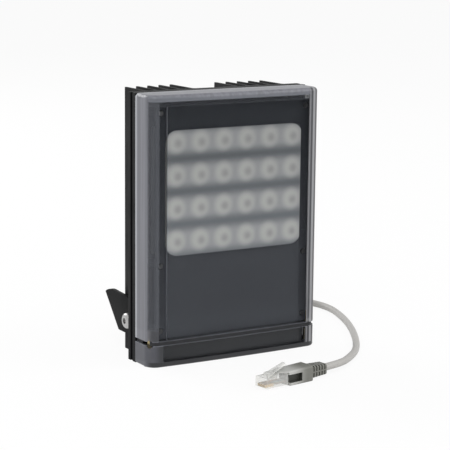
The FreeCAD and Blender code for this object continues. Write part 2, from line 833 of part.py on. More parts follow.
def cable_header():
    """Pin header that takes the lead's eight wires."""
    wide, tall, high = header_size
    x, z = header_place
    shell = on_driver(header_size, header_place)
    shell = shell.cut(box(x - wide / 2 + header_wall, x + wide / 2 - header_wall,
                          driver_front - tall - through, driver_front - header_floor,
                          z - high / 2 + header_wall, z + high / 2 - header_wall))
    pins = []
    half = header_pin_side / 2
    for k in range(header_pins):
        middle = x + (k - (header_pins - 1) / 2) * header_pin_pitch
        pins.append(box(middle - half, middle + half, driver_front - tall + header_wall,
                        driver_front - header_floor + fused_overlap, z - half, z + half))
    return fused([shell] + pins)


def lead_wires():
    """The lead's four pairs, each drawn as one round wire, from the gland to the header."""
    made = []
    header_x, header_z = header_place
    mouth = driver_front - header_size[1]
    front = mouth - lead_wire_loop
    inner = base_back + cord_start_in_gland - seal_gap
    for k in range(lead_wire_pairs):
        side, level = k % 2 - 0.5, k // 2 - 0.5
        x, z = side * lead_wire_pitch, gland_height + level * lead_wire_pitch
        end = header_x + (side + 2 * level) * lead_wire_spread
        points = [V(x, inner, z), V(x, front, z), V(end, front, z), V(end, mouth + lead_wire_entry, z)]
        made.append(bent_lead(points, lead_wire_radius))
    return group(made)


def bent_lead(points, radius):
    """A round lead along straight runs with folded corners."""
    runs = []
    for start, end in zip(points, points[1:]):
        runs.append(rod(radius, start, end - start, (end - start).Length))
    for corner in points[1:-1]:
        runs.append(Part.makeSphere(radius, corner))
    return fused(runs)


def link_leads():
    """Two short wires from the driver board up to the diode board."""
    made = []
    top = led_board_bottom + link_on_board
    low = driver_bottom + driver_height - link_on_driver
    for x in (link_x - link_gap / 2, link_x + link_gap / 2):
        out = driver_front - link_lead_rise
        points = [V(x, driver_front, low), V(x, out, low), V(x, out, top), V(x, led_board_front, top)]
        made.append(bent_lead(points, link_lead_radius))
    return group(made)


def gland_body():
    """Moulded cable gland: thread through the base plate, hexagon and neck behind it."""
    at = V(0, base_back, gland_height)
    thread_length = sink_base_depth - sink_recess_depth + gland_nut_length
    outside = gland_hex_length + gland_neck_length
    body = fused([
        rod(gland_thread_radius, at - Y * thread_length, Y, thread_length + fused_overlap),
        hexagon(gland_hex_flats, at, Y, gland_hex_length),
        rod(gland_neck_radius, at + Y * (gland_hex_length - fused_overlap), Y,
            gland_neck_length + fused_overlap),
    ])
    body = body.cut(rod(gland_bore_radius, at - Y * (thread_length + through), Y,
                        thread_length + outside + 2 * through))
    return body.cut(rod(gland_seal_radius + fit, at + Y * (outside - gland_seal_depth), Y,
                        gland_seal_depth + through))


def gland_seal():
    """Rubber ring that the gland squeezes onto the cord."""
    start = gland_hex_length + gland_neck_length - gland_seal_depth + fit
    return tube(gland_seal_radius, cord_radius + fit, V(0, base_back + start, gland_height), Y,
                gland_seal_depth + gland_seal_proud - 2 * fit)


def gland_dome():
    """Domed compression nut on the gland's neck."""
    start = V(0, base_back + gland_hex_length + gland_dome_gap, gland_height)
    before = start - Y * through
    barrel = rod(gland_dome_radius, start, Y, gland_dome_straight)
    nose = Part.makeCone(gland_dome_radius, gland_dome_mouth_radius, gland_dome_length - gland_dome_straight,
                         start + Y * gland_dome_straight, Y)
    nut = fused([barrel, nose])
    nut = nut.cut(rod(gland_dome_bore_radius, before, Y, gland_dome_length + 2 * through))
    inside = gland_neck_length + gland_seal_proud + fit
    return nut.cut(rod(gland_neck_radius + fit, before, Y, through + inside))


def gland_nut():
    """Lock nut inside the housing, against the recess floor."""
    at = V(0, recess_floor - gland_nut_length, gland_height)
    nut = hexagon(gland_nut_flats, at, Y, gland_nut_length - face_gap)
    return nut.cut(rod(gland_thread_radius + fit, at - Y * through, Y, gland_nut_length + 2 * through))


def pivot_screws():
    """Two steel button-head screws that the bracket tilts on."""
    start = pivot_nut_start - pivot_screw_past_nut
    under = bracket_arm_inside + bracket_thickness + fit
    head = rod(pivot_head_radius, V(under, pivot_y, pivot_z), X, pivot_head_height)
    rim = [e for e in head.Edges if e.Curve.TypeId == "Part::GeomCircle" and e.CenterOfMass.x > under + fit]
    head = head.makeFillet(pivot_head_fillet, rim)
    shank = rod(pivot_screw_radius, V(start, pivot_y, pivot_z), X, under - start + fused_overlap)
    floor = V(under + pivot_head_height - pivot_socket_depth, pivot_y, pivot_z)
    socket = hexagon(pivot_socket_flats, floor, X, pivot_socket_depth + through)
    return group(both_sides(fused([head, shank]).cut(socket)))


def pivot_washers():
    """Two flat washers between the bracket's arms and the outer fins."""
    start = outer_fin_x + fin_root_thickness / 2 + face_gap
    washer = tube(pivot_washer_radius, pivot_screw_radius + fit, V(start, pivot_y, pivot_z), X,
                  bracket_arm_inside - fit - start)
    return group(both_sides(washer))


def spring_washers():
    """Two split washers under the nuts."""
    start = outer_fin_x - fin_root_thickness / 2 - face_gap - spring_washer_height
    ring = tube(spring_washer_radius, pivot_screw_radius + fit, V(start, pivot_y, pivot_z), X,
                spring_washer_height)
    gap = box(start - through, start + spring_washer_height + through,
              pivot_y - spring_washer_gap / 2, pivot_y + spring_washer_gap / 2,
              pivot_z, pivot_z + spring_washer_radius + through)
    return group(both_sides(ring.cut(gap)))


def pivot_nuts():
    """Two hexagon nuts between the outer fins."""
    nut = hexagon(nut_flats, V(pivot_nut_start, pivot_y, pivot_z), X, nut_height)
    nut = nut.cut(rod(pivot_screw_radius + fit, V(pivot_nut_start - through, pivot_y, pivot_z), X,
                      nut_height + 2 * through))
    return group(both_sides(nut))


def bracket_point(out, up):
    """A point in the bracket's side view, measured from the pivot along and across the tilted plate."""
    return V(0, pivot_y, pivot_z) + plate_out * out + plate_up * up


def bracket_outline():
    """The folded strip's side view, both arms and plate, as a prism across the lamp."""
    half = bracket_arm_inside + bracket_thickness + through
    point = lambda y, z: V(-half, pivot_y + y, pivot_z + z)
    back_low = bracket_point(plate_outer_offset, plate_bottom_offset) - X * half
    back_high = bracket_point(plate_outer_offset, plate_bottom_offset + arm_back_height) - X * half
    nose, corner = arm_nose_radius, arm_nose_radius / math.sqrt(2)
    shoulder = point(-nose / 2, (nose + arm_top_rise) / 2)
    edges = [
        Part.LineSegment(back_low, point(0, -nose)).toShape(),
        Part.Arc(point(0, -nose), point(-corner, -corner), point(-nose, 0)).toShape(),
        Part.Arc(point(-nose, 0), shoulder, point(arm_top_start, arm_top_rise)).toShape(),
        Part.LineSegment(point(arm_top_start, arm_top_rise), point(*arm_top_end)).toShape(),
        Part.Arc(point(*arm_top_end), point(*arm_crest), back_high).toShape(),
        Part.LineSegment(back_high, back_low).toShape(),
    ]
    return Part.Face(Part.Wire(edges)).extrude(X * 2 * half)


def bracket_channel(half_x, out, radius):
    """A block with two rounded long edges, the outside or the inside of the folded strip."""
    block = box(-half_x, half_x, -bracket_blank_length, out, -bracket_blank_length, bracket_blank_length)
    folds = [e for e in block.Edges if abs(e.tangentAt(e.FirstParameter).z) > 0.99 and e.CenterOfMass.y > 0]
    return block.makeFillet(radius, folds)


def bracket():
    """Bracket folded from one steel strip: two arms and a back plate with three fixing holes."""
    inside_offset = plate_outer_offset - bracket_thickness
    outside = bracket_channel(bracket_arm_inside + bracket_thickness, plate_outer_offset, bracket_fold_radius)
    inside = bracket_channel(bracket_arm_inside, inside_offset, bracket_fold_radius - bracket_thickness)
    channel = outside.cut(inside)
    for low, high in ((-bracket_blank_length, plate_bottom_offset),
                      (plate_bottom_offset + plate_width, bracket_blank_length)):
        channel = channel.cut(box(-bracket_arm_inside, bracket_arm_inside, inside_offset - through,
                                  plate_outer_offset + through, low, high))
    turn = FreeCAD.Rotation(X, plate_out, plate_up, "XYZ")
    channel.Placement = FreeCAD.Placement(bracket_point(0, 0), turn)
    strip = channel.common(bracket_outline())
    strip = strip.cut(rod(pivot_hole_radius, V(-housing_width / 2, pivot_y, pivot_z), X, housing_width))
    middle = plate_bottom_offset + plate_width / 2
    for x, radius in ((0, bracket_centre_hole_radius), (-bracket_side_hole_x, bracket_side_hole_radius),
                      (bracket_side_hole_x, bracket_side_hole_radius)):
        at = bracket_point(inside_offset - through, middle) + X * x
        strip = strip.cut(rod(radius, at, plate_out, bracket_thickness + 2 * through))
    return strip


def placed(shape, at, along):
    """Turns a shape drawn along +X so that it runs along a level direction from a point."""
    shape.Placement = FreeCAD.Placement(at, FreeCAD.Rotation(X, along)).multiply(shape.Placement)
    return shape


def on_plug(shape, height):
    """Places a shape drawn along the plug at a height above the floor."""
    return placed(shape, boot_joint + Z * height, plug_along)


def contact_places():
    """The middle of each contact across the plug."""
    return [(k - (plug_contact_count - 1) / 2) * plug_contact_pitch for k in range(plug_contact_count)]


def plug_body():
    """Clear network plug: body with contact slots in its nose, cable cavity and latch, in one piece."""
    w, h = plug_width / 2, plug_height / 2
    body = box(plug_back, plug_nose, -w, w, -h, h)
    body = body.cut(box(plug_nose - plug_step_length, plug_nose + through, -w - through, w + through,
                        h - plug_step_depth, h + through))
    body = body.cut(box(plug_back - through, plug_nose - plug_front_block, -w + plug_wall, w - plug_wall,
                        -h + plug_wall, h - plug_roof))
    long, thick, tall = plug_contact_size
    half = thick / 2 + fit
    for y in contact_places():
        body = body.cut(box(plug_nose - long - plug_contact_setback - fit, plug_nose + through,
                            y - half, y + half, -h - through, -h + tall))
    latch = box(-plug_latch_length, 0, -plug_latch_width / 2, plug_latch_width / 2, 0, plug_latch_thickness)
    latch.rotate(V(0, 0, 0), Y, plug_latch_angle)
    latch.translate(V(plug_nose - plug_latch_setback, 0, h - plug_step_depth - slide_gap))
    return on_plug(fused([body, latch]), plug_middle)


def plug_contacts():
    """Eight gold contact blades in the plug's nose."""
    long, thick, tall = plug_contact_size
    low = -plug_height / 2
    return group([on_plug(box(plug_nose - long - plug_contact_setback, plug_nose - plug_contact_setback,
                              y - thick / 2, y + thick / 2, low + slide_gap, low + tall - fit), plug_middle)
                  for y in contact_places()])


def plug_wires():
    """The lead's eight wires fanned flat inside the plug."""
    z = -plug_height / 2 + plug_wall + plug_wire_radius + fit
    length = plug_length - plug_front_block - slide_gap
    return group([on_plug(rod(plug_wire_radius, V(plug_back, y, z), X, length), plug_middle)
                  for y in contact_places()])


def tail_section(x, size):
    """A rectangle across the boot's tail."""
    half, low, high = size[0] / 2, boot_height / 2 - size[1] / 2, boot_height / 2 + size[1] / 2
    return Part.makePolygon([V(x, -half, low), V(x, half, low), V(x, half, high), V(x, -half, high),
                             V(x, -half, low)])


def plug_boot():
    """Moulded boot: tongue over the plug, chin below, spine and block round the cord, and slotted tail."""
    w, arm = boot_width / 2, boot_height - boot_arm_thickness
    plug_top, plug_gap = plug_lift + plug_height + fit, plug_back - slide_gap
    outline = [(-boot_block_length, 0), (boot_chin_length, 0), (boot_chin_length, boot_chin_thickness),
               (0, boot_chin_thickness), (0, arm), (plug_gap, arm), (plug_gap, plug_top),
               (boot_tongue_length, plug_top), (boot_tongue_length, plug_top + boot_tongue_thickness),
               (-boot_block_length, boot_height)]
    corners = [V(x, -w, z) for x, z in outline]
    boot = Part.Face(Part.makePolygon(corners + corners[:1])).extrude(Y * boot_width)
    long_edges = [e for e in boot.Edges if abs(e.tangentAt(e.FirstParameter).y) < 0.01
                  and e.BoundBox.XMin < through - boot_block_length and e.BoundBox.XMax > 0]
    boot = boot.makeFillet(boot_edge_fillet, long_edges)
    taper = [V(plug_gap, w, 0), V(boot_tongue_length, boot_tongue_width / 2, 0),
             V(boot_tongue_length + through, boot_tongue_width / 2, 0),
             V(boot_tongue_length + through, w + through, 0), V(plug_gap, w + through, 0), V(plug_gap, w, 0)]
    side = Part.Face(Part.makePolygon(taper)).extrude(Z * (boot_height + through))
    boot = boot.cut(side).cut(side.mirror(V(0, 0, 0), Y))
    spine = box(-fused_overlap, plug_gap, -boot_spine_width / 2, boot_spine_width / 2,
                boot_chin_thickness / 2, arm + fused_overlap)
    tail_x = -boot_block_length - boot_tail_length
    tail = Part.makeLoft([tail_section(fused_overlap - boot_block_length, boot_tail_front),
                          tail_section(tail_x, boot_tail_end)], True)
    tail = tail.makeFillet(boot_tail_fillet,
                           [e for e in tail.Edges if abs(e.tangentAt(e.FirstParameter).x) > 0.9])
    for k in range(boot_slots):
        x = tail_x + boot_slot_width + k * boot_slot_pitch
        for y0 in (boot_slot_core / 2, -boot_slot_core / 2 - w):
            for z0 in (boot_height / 2 + boot_slot_rib / 2, boot_height / 2 - boot_slot_rib / 2 - w):
                tail = tail.cut(box(x, x + boot_slot_width, y0, y0 + w, z0, z0 + w))
    boot = fused([boot, spine, tail])
    bore = rod(cord_radius + boot_bore_gap, V(tail_x - through, 0, boot_bore_height), X,
               plug_back - tail_x + through)
    return on_plug(boot.cut(bore), 0)


def cord_path(points):
    """Straight runs joined by arcs as large as the runs allow. Prints the radii."""
    edges, start, radii = [], points[0], []
    for before, corner, after in zip(points, points[1:], points[2:]):
        into, out = corner - before, after - corner
        shorter = min(into.Length, out.Length)
        turn = into.getAngle(out)
        radius = 0.45 * shorter / math.tan(turn / 2)
        into.normalize()
        out.normalize()
        first, last = corner - into * 0.45 * shorter, corner + out * 0.45 * shorter
        middle = corner + (out - into).normalize() * (radius / math.cos(turn / 2) - radius)
        edges += [Part.LineSegment(start, first).toShape(), Part.Arc(first, middle, last).toShape()]
        radii.append(round(radius, 1))
        start = last
    edges.append(Part.LineSegment(start, points[-1]).toShape())
    print("cord radii", radii)
    return Part.Wire(edges)


def cord_end():
    """Where the cord meets the plug boot's tail bore."""
    back = boot_block_length + boot_tail_length - cord_in_boot
    return boot_joint + Z * boot_bore_height - plug_along * back


def cable():
    """The network lead's round sheath, from the gland to the boot."""
    path = cord_path(cord_route + [cord_end()])
    section = Part.Wire([Part.Circle(cord_route[0], Y, cord_radius).toShape()])
    lead = path.makePipeShell([section], True, False)
    print("cord length", round(path.Length, 1), "volume against section", round(
        lead.Volume / (math.pi * cord_radius ** 2 * path.Length), 4))
    return lead


nodes = {
    "heat_sink": heat_sink, "front_cover": front_cover, "cover_gasket": cover_gasket,
    "cover_screws": cover_screws, "bottom_cap": bottom_cap, "cap_liner": cap_liner, "cap_seal": cap_seal,
    "cap_screws": cap_screws, "bezel": bezel, "bezel_screws": bezel_screws,
    "window_diffuser": window_diffuser, "lens_insert": lens_insert, "thermal_pad": thermal_pad,
    "led_board": led_board, "led_emitters": led_emitters, "led_lenses": led_lenses,
    "board_screws": board_screws, "driver_board": driver_board, "board_standoffs": board_standoffs,
    "driver_screws": driver_screws, "transformer": transformer, "inductor": inductor,
    "capacitors": capacitors, "power_transistors": power_transistors, "cable_header": cable_header,
    "lead_wires": lead_wires, "link_leads": link_leads, "gland_body": gland_body, "gland_seal": gland_seal,
    "gland_dome": gland_dome, "gland_nut": gland_nut, "pivot_screws": pivot_screws,
    "pivot_washers": pivot_washers, "spring_washers": spring_washers, "pivot_nuts": pivot_nuts,
    "bracket": bracket, "cable": cable, "plug_boot": plug_boot, "plug_body": plug_body,
    "plug_contacts": plug_contacts, "plug_wires": plug_wires,
}

os.makedirs("parts", exist_ok=True)
for name, make in nodes.items():
    shape = make()
    reach = shape.BoundBox
    state = "valid" if shape.isValid() else "NOT VALID"
    print(name, len(shape.Solids), "solids", round(shape.Volume, 1), state,
          [round(v, 1) for v in (reach.XMin, reach.XMax, reach.YMin, reach.YMax, reach.ZMin, reach.ZMax)])
    shape.exportStep(f"parts/{name}.step")
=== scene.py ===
"""Looks of the infrared illuminator: mouldings, frosted lens window, bracket and network lead.

Metres, in the part's own frame: +X right, +Y back to the fins, +Z up, from the heat sink's foot.
"""
from __future__ import annotations

import functools
import json
import logging
import math
from collections.abc import Callable
from dataclasses import dataclass
from enum import Enum

import bmesh
import bpy
from mathutils import Matrix, Vector

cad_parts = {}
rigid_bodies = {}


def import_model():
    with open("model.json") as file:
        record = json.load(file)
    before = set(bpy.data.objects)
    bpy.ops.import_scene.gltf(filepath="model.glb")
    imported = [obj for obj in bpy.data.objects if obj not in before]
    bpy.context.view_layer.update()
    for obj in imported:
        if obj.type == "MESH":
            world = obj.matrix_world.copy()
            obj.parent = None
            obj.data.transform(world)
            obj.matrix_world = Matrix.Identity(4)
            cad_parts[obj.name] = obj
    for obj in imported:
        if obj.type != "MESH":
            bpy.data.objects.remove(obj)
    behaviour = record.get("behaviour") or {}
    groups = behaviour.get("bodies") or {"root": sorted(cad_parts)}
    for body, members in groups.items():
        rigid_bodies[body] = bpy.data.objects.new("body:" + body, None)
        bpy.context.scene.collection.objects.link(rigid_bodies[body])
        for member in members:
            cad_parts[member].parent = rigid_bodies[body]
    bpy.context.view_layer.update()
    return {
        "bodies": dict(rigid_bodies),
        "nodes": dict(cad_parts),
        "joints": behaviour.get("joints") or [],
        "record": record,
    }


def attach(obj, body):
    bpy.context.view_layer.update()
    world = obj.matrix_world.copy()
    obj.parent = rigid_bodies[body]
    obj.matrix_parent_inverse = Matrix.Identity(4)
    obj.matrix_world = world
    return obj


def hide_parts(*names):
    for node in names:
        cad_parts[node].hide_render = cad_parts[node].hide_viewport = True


LOG = logging.getLogger("illuminator")
MM = 0.001
# Vertices nearer to each other than this are one.
WELD = 0.001 * MM
# Half the width of a painted border.
SOFT = 0.2 * MM
# The front of the boot's block, seen from above, and the way that the plug points from there.
PLUG_JOINT = (2.5 * MM, -99.5 * MM)
PLUG_HEADING = math.radians(189.2)

Pair = tuple[float, float]
Triple = tuple[float, float, float]
Colour = tuple[float, float, float]
Socket = bpy.types.NodeSocket


class Body(Enum):
    """The two bodies that the bracket's pivot joins."""

    HOUSING = "housing"
    BRACKET = "bracket"


class Axis(Enum):
    """The part's own axes."""

    X = 0
    Y = 1
    Z = 2


@dataclass(frozen=True)
class Relief:
    """A fine relief made of noise."""

    scale: float
    depth: float
    strength: float
    detail: float = 3.0
    roughness: float = 0.6


class Shader:
    """The node tree of one material, built a node at a time.

    Its reach is the distance of each place from the part's middle plane, X = 0.
    """

    def __init__(self, name: str) -> None:
        """Starts an empty material.

        Args:
            name: the material's name.
        """
        self.material = bpy.data.materials.new(name)
        self.material.use_nodes = True
        self.tree = self.material.node_tree
        self.tree.nodes.clear()
        self.coordinates = self.tree.nodes.new("ShaderNodeTexCoord")
        self.axes = self.node("ShaderNodeSeparateXYZ", Vector=self.coordinates.outputs["Object"])
        self.reach = self.calc("ABSOLUTE", self.along(Axis.X))

    def node(self, kind: str, options: dict | None = None, **inputs: object) -> bpy.types.Node:
        """Adds a node.

        Args:
            kind: the node's type name.
            options: attributes to set on the node.
            inputs: values or sockets for its inputs, with spaces in their names written as underscores.

        Returns:
            The new node.
        """
        made = self.tree.nodes.new(kind)
        for key, value in (options or {}).items():
            setattr(made, key, value)
        for key, value in inputs.items():
            self.feed(made.inputs[key.replace("_", " ")], value)
        return made

    def feed(self, socket: Socket, value: object) -> None:
        """Links a socket to another, or sets its value.

        Args:
            socket: the input to feed.
            value: another socket, a number, or a colour of three or four parts.
        """
        if isinstance(value, bpy.types.NodeSocket):
            self.tree.links.new(value, socket)
        elif isinstance(value, tuple) and socket.type == "RGBA":
            socket.default_value = (*value, 1.0) if len(value) == 3 else value
        else:
            socket.default_value = value

    def calc(self, operation: str, *values: object) -> Socket:
        """Adds a Math node.

        Args:
            operation: its operation, such as ADD.
            values: numbers or sockets for its inputs.

        Returns:
            The result's socket.
        """
        made = self.node("ShaderNodeMath", {"operation": operation})
        for socket, value in zip(made.inputs, values):
            self.feed(socket, value)
        return made.outputs[0]

    def minus(self, first: object, second: object) -> Socket:
        """The first value less the second."""
        return self.calc("SUBTRACT", first, second)

    def times(self, *values: object) -> Socket:
        """The product of several values."""
        return functools.reduce(functools.partial(self.calc, "MULTIPLY"), values)

    def most(self, *values: object) -> Socket:
        """The largest of several values."""
        return functools.reduce(functools.partial(self.calc, "MAXIMUM"), values)

    def length(self, *parts: Socket) -> Socket:
        """The length of a vector from its parts."""
        squares = [self.times(part, part) for part in parts]
        return self.calc("SQRT", functools.reduce(functools.partial(self.calc, "ADD"), squares))

    def ramp(self, value: object, start: float, end: float, low: object = 0.0, high: object = 1.0) -> Socket:
        """Maps a value smoothly from start and end onto low and high, and holds it beyond them.

        Args:
            value: the value to map.
            start: where the change starts.
            end: where the change ends.
            low: the result up to the start.
            high: the result from the end.

        Returns:
            The result's socket.
        """
        made = self.node("ShaderNodeMapRange", {"interpolation_type": "SMOOTHSTEP"})
        for socket, number in zip(made.inputs, (value, start, end, low, high)):
            self.feed(socket, number)
        return made.outputs[0]

    def past(self, value: Socket, border: float) -> Socket:
        """Gives 1 past a border, and 0 before it."""
        return self.ramp(value, border - SOFT, border + SOFT)

    def within(self, value: Socket, low: float, high: float) -> Socket:
        """Gives 1 between two limits, and 0 beyond them."""
        return self.times(self.calc("GREATER_THAN", value, low), self.calc("LESS_THAN", value, high))

    def along(self, axis: Axis) -> Socket:
        """The object coordinate along an axis."""
        return self.axes.outputs[axis.value]

    def noise(self, scale: float, detail: float = 2.0, roughness: float = 0.5,
              stretch: Triple = (1.0, 1.0, 1.0)) -> Socket:
        """Noise on object coordinates.

        Args:
            scale: its scale per metre.
            detail: its number of octaves.
            roughness: how strong its fine octaves are.
            stretch: a factor for each axis, below 1 where the pattern is long.

        Returns:
            The factor's socket.
        """
        placed = self.node("ShaderNodeMapping", Vector=self.coordinates.outputs["Object"], Scale=stretch)
        made = self.node("ShaderNodeTexNoise", Vector=placed.outputs[0], Scale=scale, Detail=detail,
                         Roughness=roughness)
        return made.outputs["Fac"]

    def blend(self, factor: object, first: object, second: object) -> Socket:
        """Mixes two colours.

        Args:
            factor: how much of the second is used.
            first: the first colour.
            second: the second colour.

        Returns:
            The mixed colour's socket.
        """
        made = self.node("ShaderNodeMix", {"data_type": "RGBA"})
        self.feed(made.inputs[0], factor)
        self.feed(made.inputs[6], first)
        self.feed(made.inputs[7], second)
        return made.outputs[2]

    def bump(self, height: Socket, strength: float, distance: float) -> Socket:
        """A normal from a height.

        Args:
            height: the height's socket.
            strength: how strong the relief is, up to 1.
            distance: the relief's depth in metres.

        Returns:
            The normal's socket.
        """
        return self.node("ShaderNodeBump", Height=height, Strength=strength, Distance=distance).outputs[0]

    def grained(self, relief: Relief) -> Socket:
        """A normal from a relief."""
        height = self.noise(relief.scale, relief.detail, relief.roughness)
        return self.bump(height, relief.strength, relief.depth)

    def solid(self, colour: object, roughness: object, normal: Socket, specular: float = 0.5,
              metallic: float = 0.0) -> Socket:
        """A solid surface.

        Args:
            colour: its colour.
            roughness: its roughness.
            normal: its normal.
            specular: how strongly it reflects.
            metallic: 1 for bare metal, and 0 for anything else.

        Returns:
            The surface's socket.
        """
        return self.node("ShaderNodeBsdfPrincipled", Base_Color=colour, Roughness=roughness, Normal=normal,
                         Specular_IOR_Level=specular, Metallic=metallic).outputs[0]

    def glassy(self, tint: Colour, gloss: object, roughness: float, ior: float, **relief: Socket) -> Socket:
        """A clear surface that reflects on its outer side. Its inner side only lets light through.

        Args:
            tint: the colour that it gives to what shows through.
            gloss: the reflection's colour.
            roughness: the reflection's roughness.
            ior: the index that sets how strong the reflection is.
            relief: the surface's normal, where it has a relief.

        Returns:
            The surface's socket.
        """
        clear = self.node("ShaderNodeBsdfTransparent", Color=tint)
        shine = self.node("ShaderNodeBsdfAnisotropic", Color=gloss, Roughness=roughness, **relief)
        fresnel = self.node("ShaderNodeFresnel", IOR=ior, **relief)
        inner = self.node("ShaderNodeNewGeometry").outputs["Backfacing"]
        sheen = self.times(fresnel.outputs[0], self.minus(1.0, inner))
        return self.mixed(sheen, clear.outputs[0], shine.outputs[0])

    def mixed(self, factor: object, first: Socket, second: Socket) -> Socket:
        """Mixes two surfaces.

        Args:
            factor: how much of the second is used.
            first: the first surface.
            second: the second surface.

        Returns:
            The mixed surface's socket.
        """
        made = self.node("ShaderNodeMixShader")
        for socket, value in zip(made.inputs, (factor, first, second)):
            self.feed(socket, value)
        return made.outputs[0]

    def plug_axes(self) -> tuple[Socket, Socket]:
        """Works out two distances from the front of the boot's block.

        Returns:
            The sockets of the distance along the plug and of the distance across it.
        """
        x = self.minus(self.along(Axis.X), PLUG_JOINT[0])
        y = self.minus(self.along(Axis.Y), PLUG_JOINT[1])
        cosine, sine = math.cos(PLUG_HEADING), math.sin(PLUG_HEADING)
        along = self.calc("ADD", self.times(x, cosine), self.times(y, sine))
        return along, self.minus(self.times(y, cosine), self.times(x, sine))

    def finish(self, surface: Socket) -> bpy.types.Material:
        """Links the surface to the output, and gives the finished material."""
        self.node("ShaderNodeOutputMaterial", Surface=surface)
        return self.material


@dataclass(frozen=True)
class Finish:
    """An opaque finish: a colour that varies a little, a roughness that does too, and a fine relief."""

    name: str
    colour: Colour
    roughness: float = 0.5
    metallic: float = 0.0
    specular: float = 0.5
    variation: float = 0.15
    roughness_variation: float = 0.08
    patch_scale: float = 35.0
    patch_limits: Pair = (0.3, 0.7)
    grain_scale: float = 900.0
    grain_depth: float = 0.04 * MM
    grain_strength: float = 0.6
    grain_stretch: Triple = (1.0, 1.0, 1.0)
    noise_detail: float = 3.0
    noise_roughness: float = 0.6

    def build(self) -> bpy.types.Material:
        """Makes the material.

        Returns:
            The finished material.
        """
        shader = Shader(self.name)
        patches = shader.noise(self.patch_scale, self.noise_detail, self.noise_roughness)
        grain = shader.noise(self.grain_scale, self.noise_detail, self.noise_roughness, self.grain_stretch)
        both = shader.calc("MULTIPLY_ADD", grain, 0.5, shader.times(patches, 0.5))
        darker = tuple(c * (1.0 - self.variation) for c in self.colour)
        lighter = tuple(min(1.0, c * (1.0 + self.variation)) for c in self.colour)
        roughness = shader.ramp(patches, *self.patch_limits, self.roughness - self.roughness_variation,
                                self.roughness + self.roughness_variation)
        normal = shader.bump(grain, self.grain_strength, self.grain_depth)
        colour = shader.blend(both, darker, lighter)
        return shader.finish(shader.solid(colour, roughness, normal, self.specular, self.metallic))


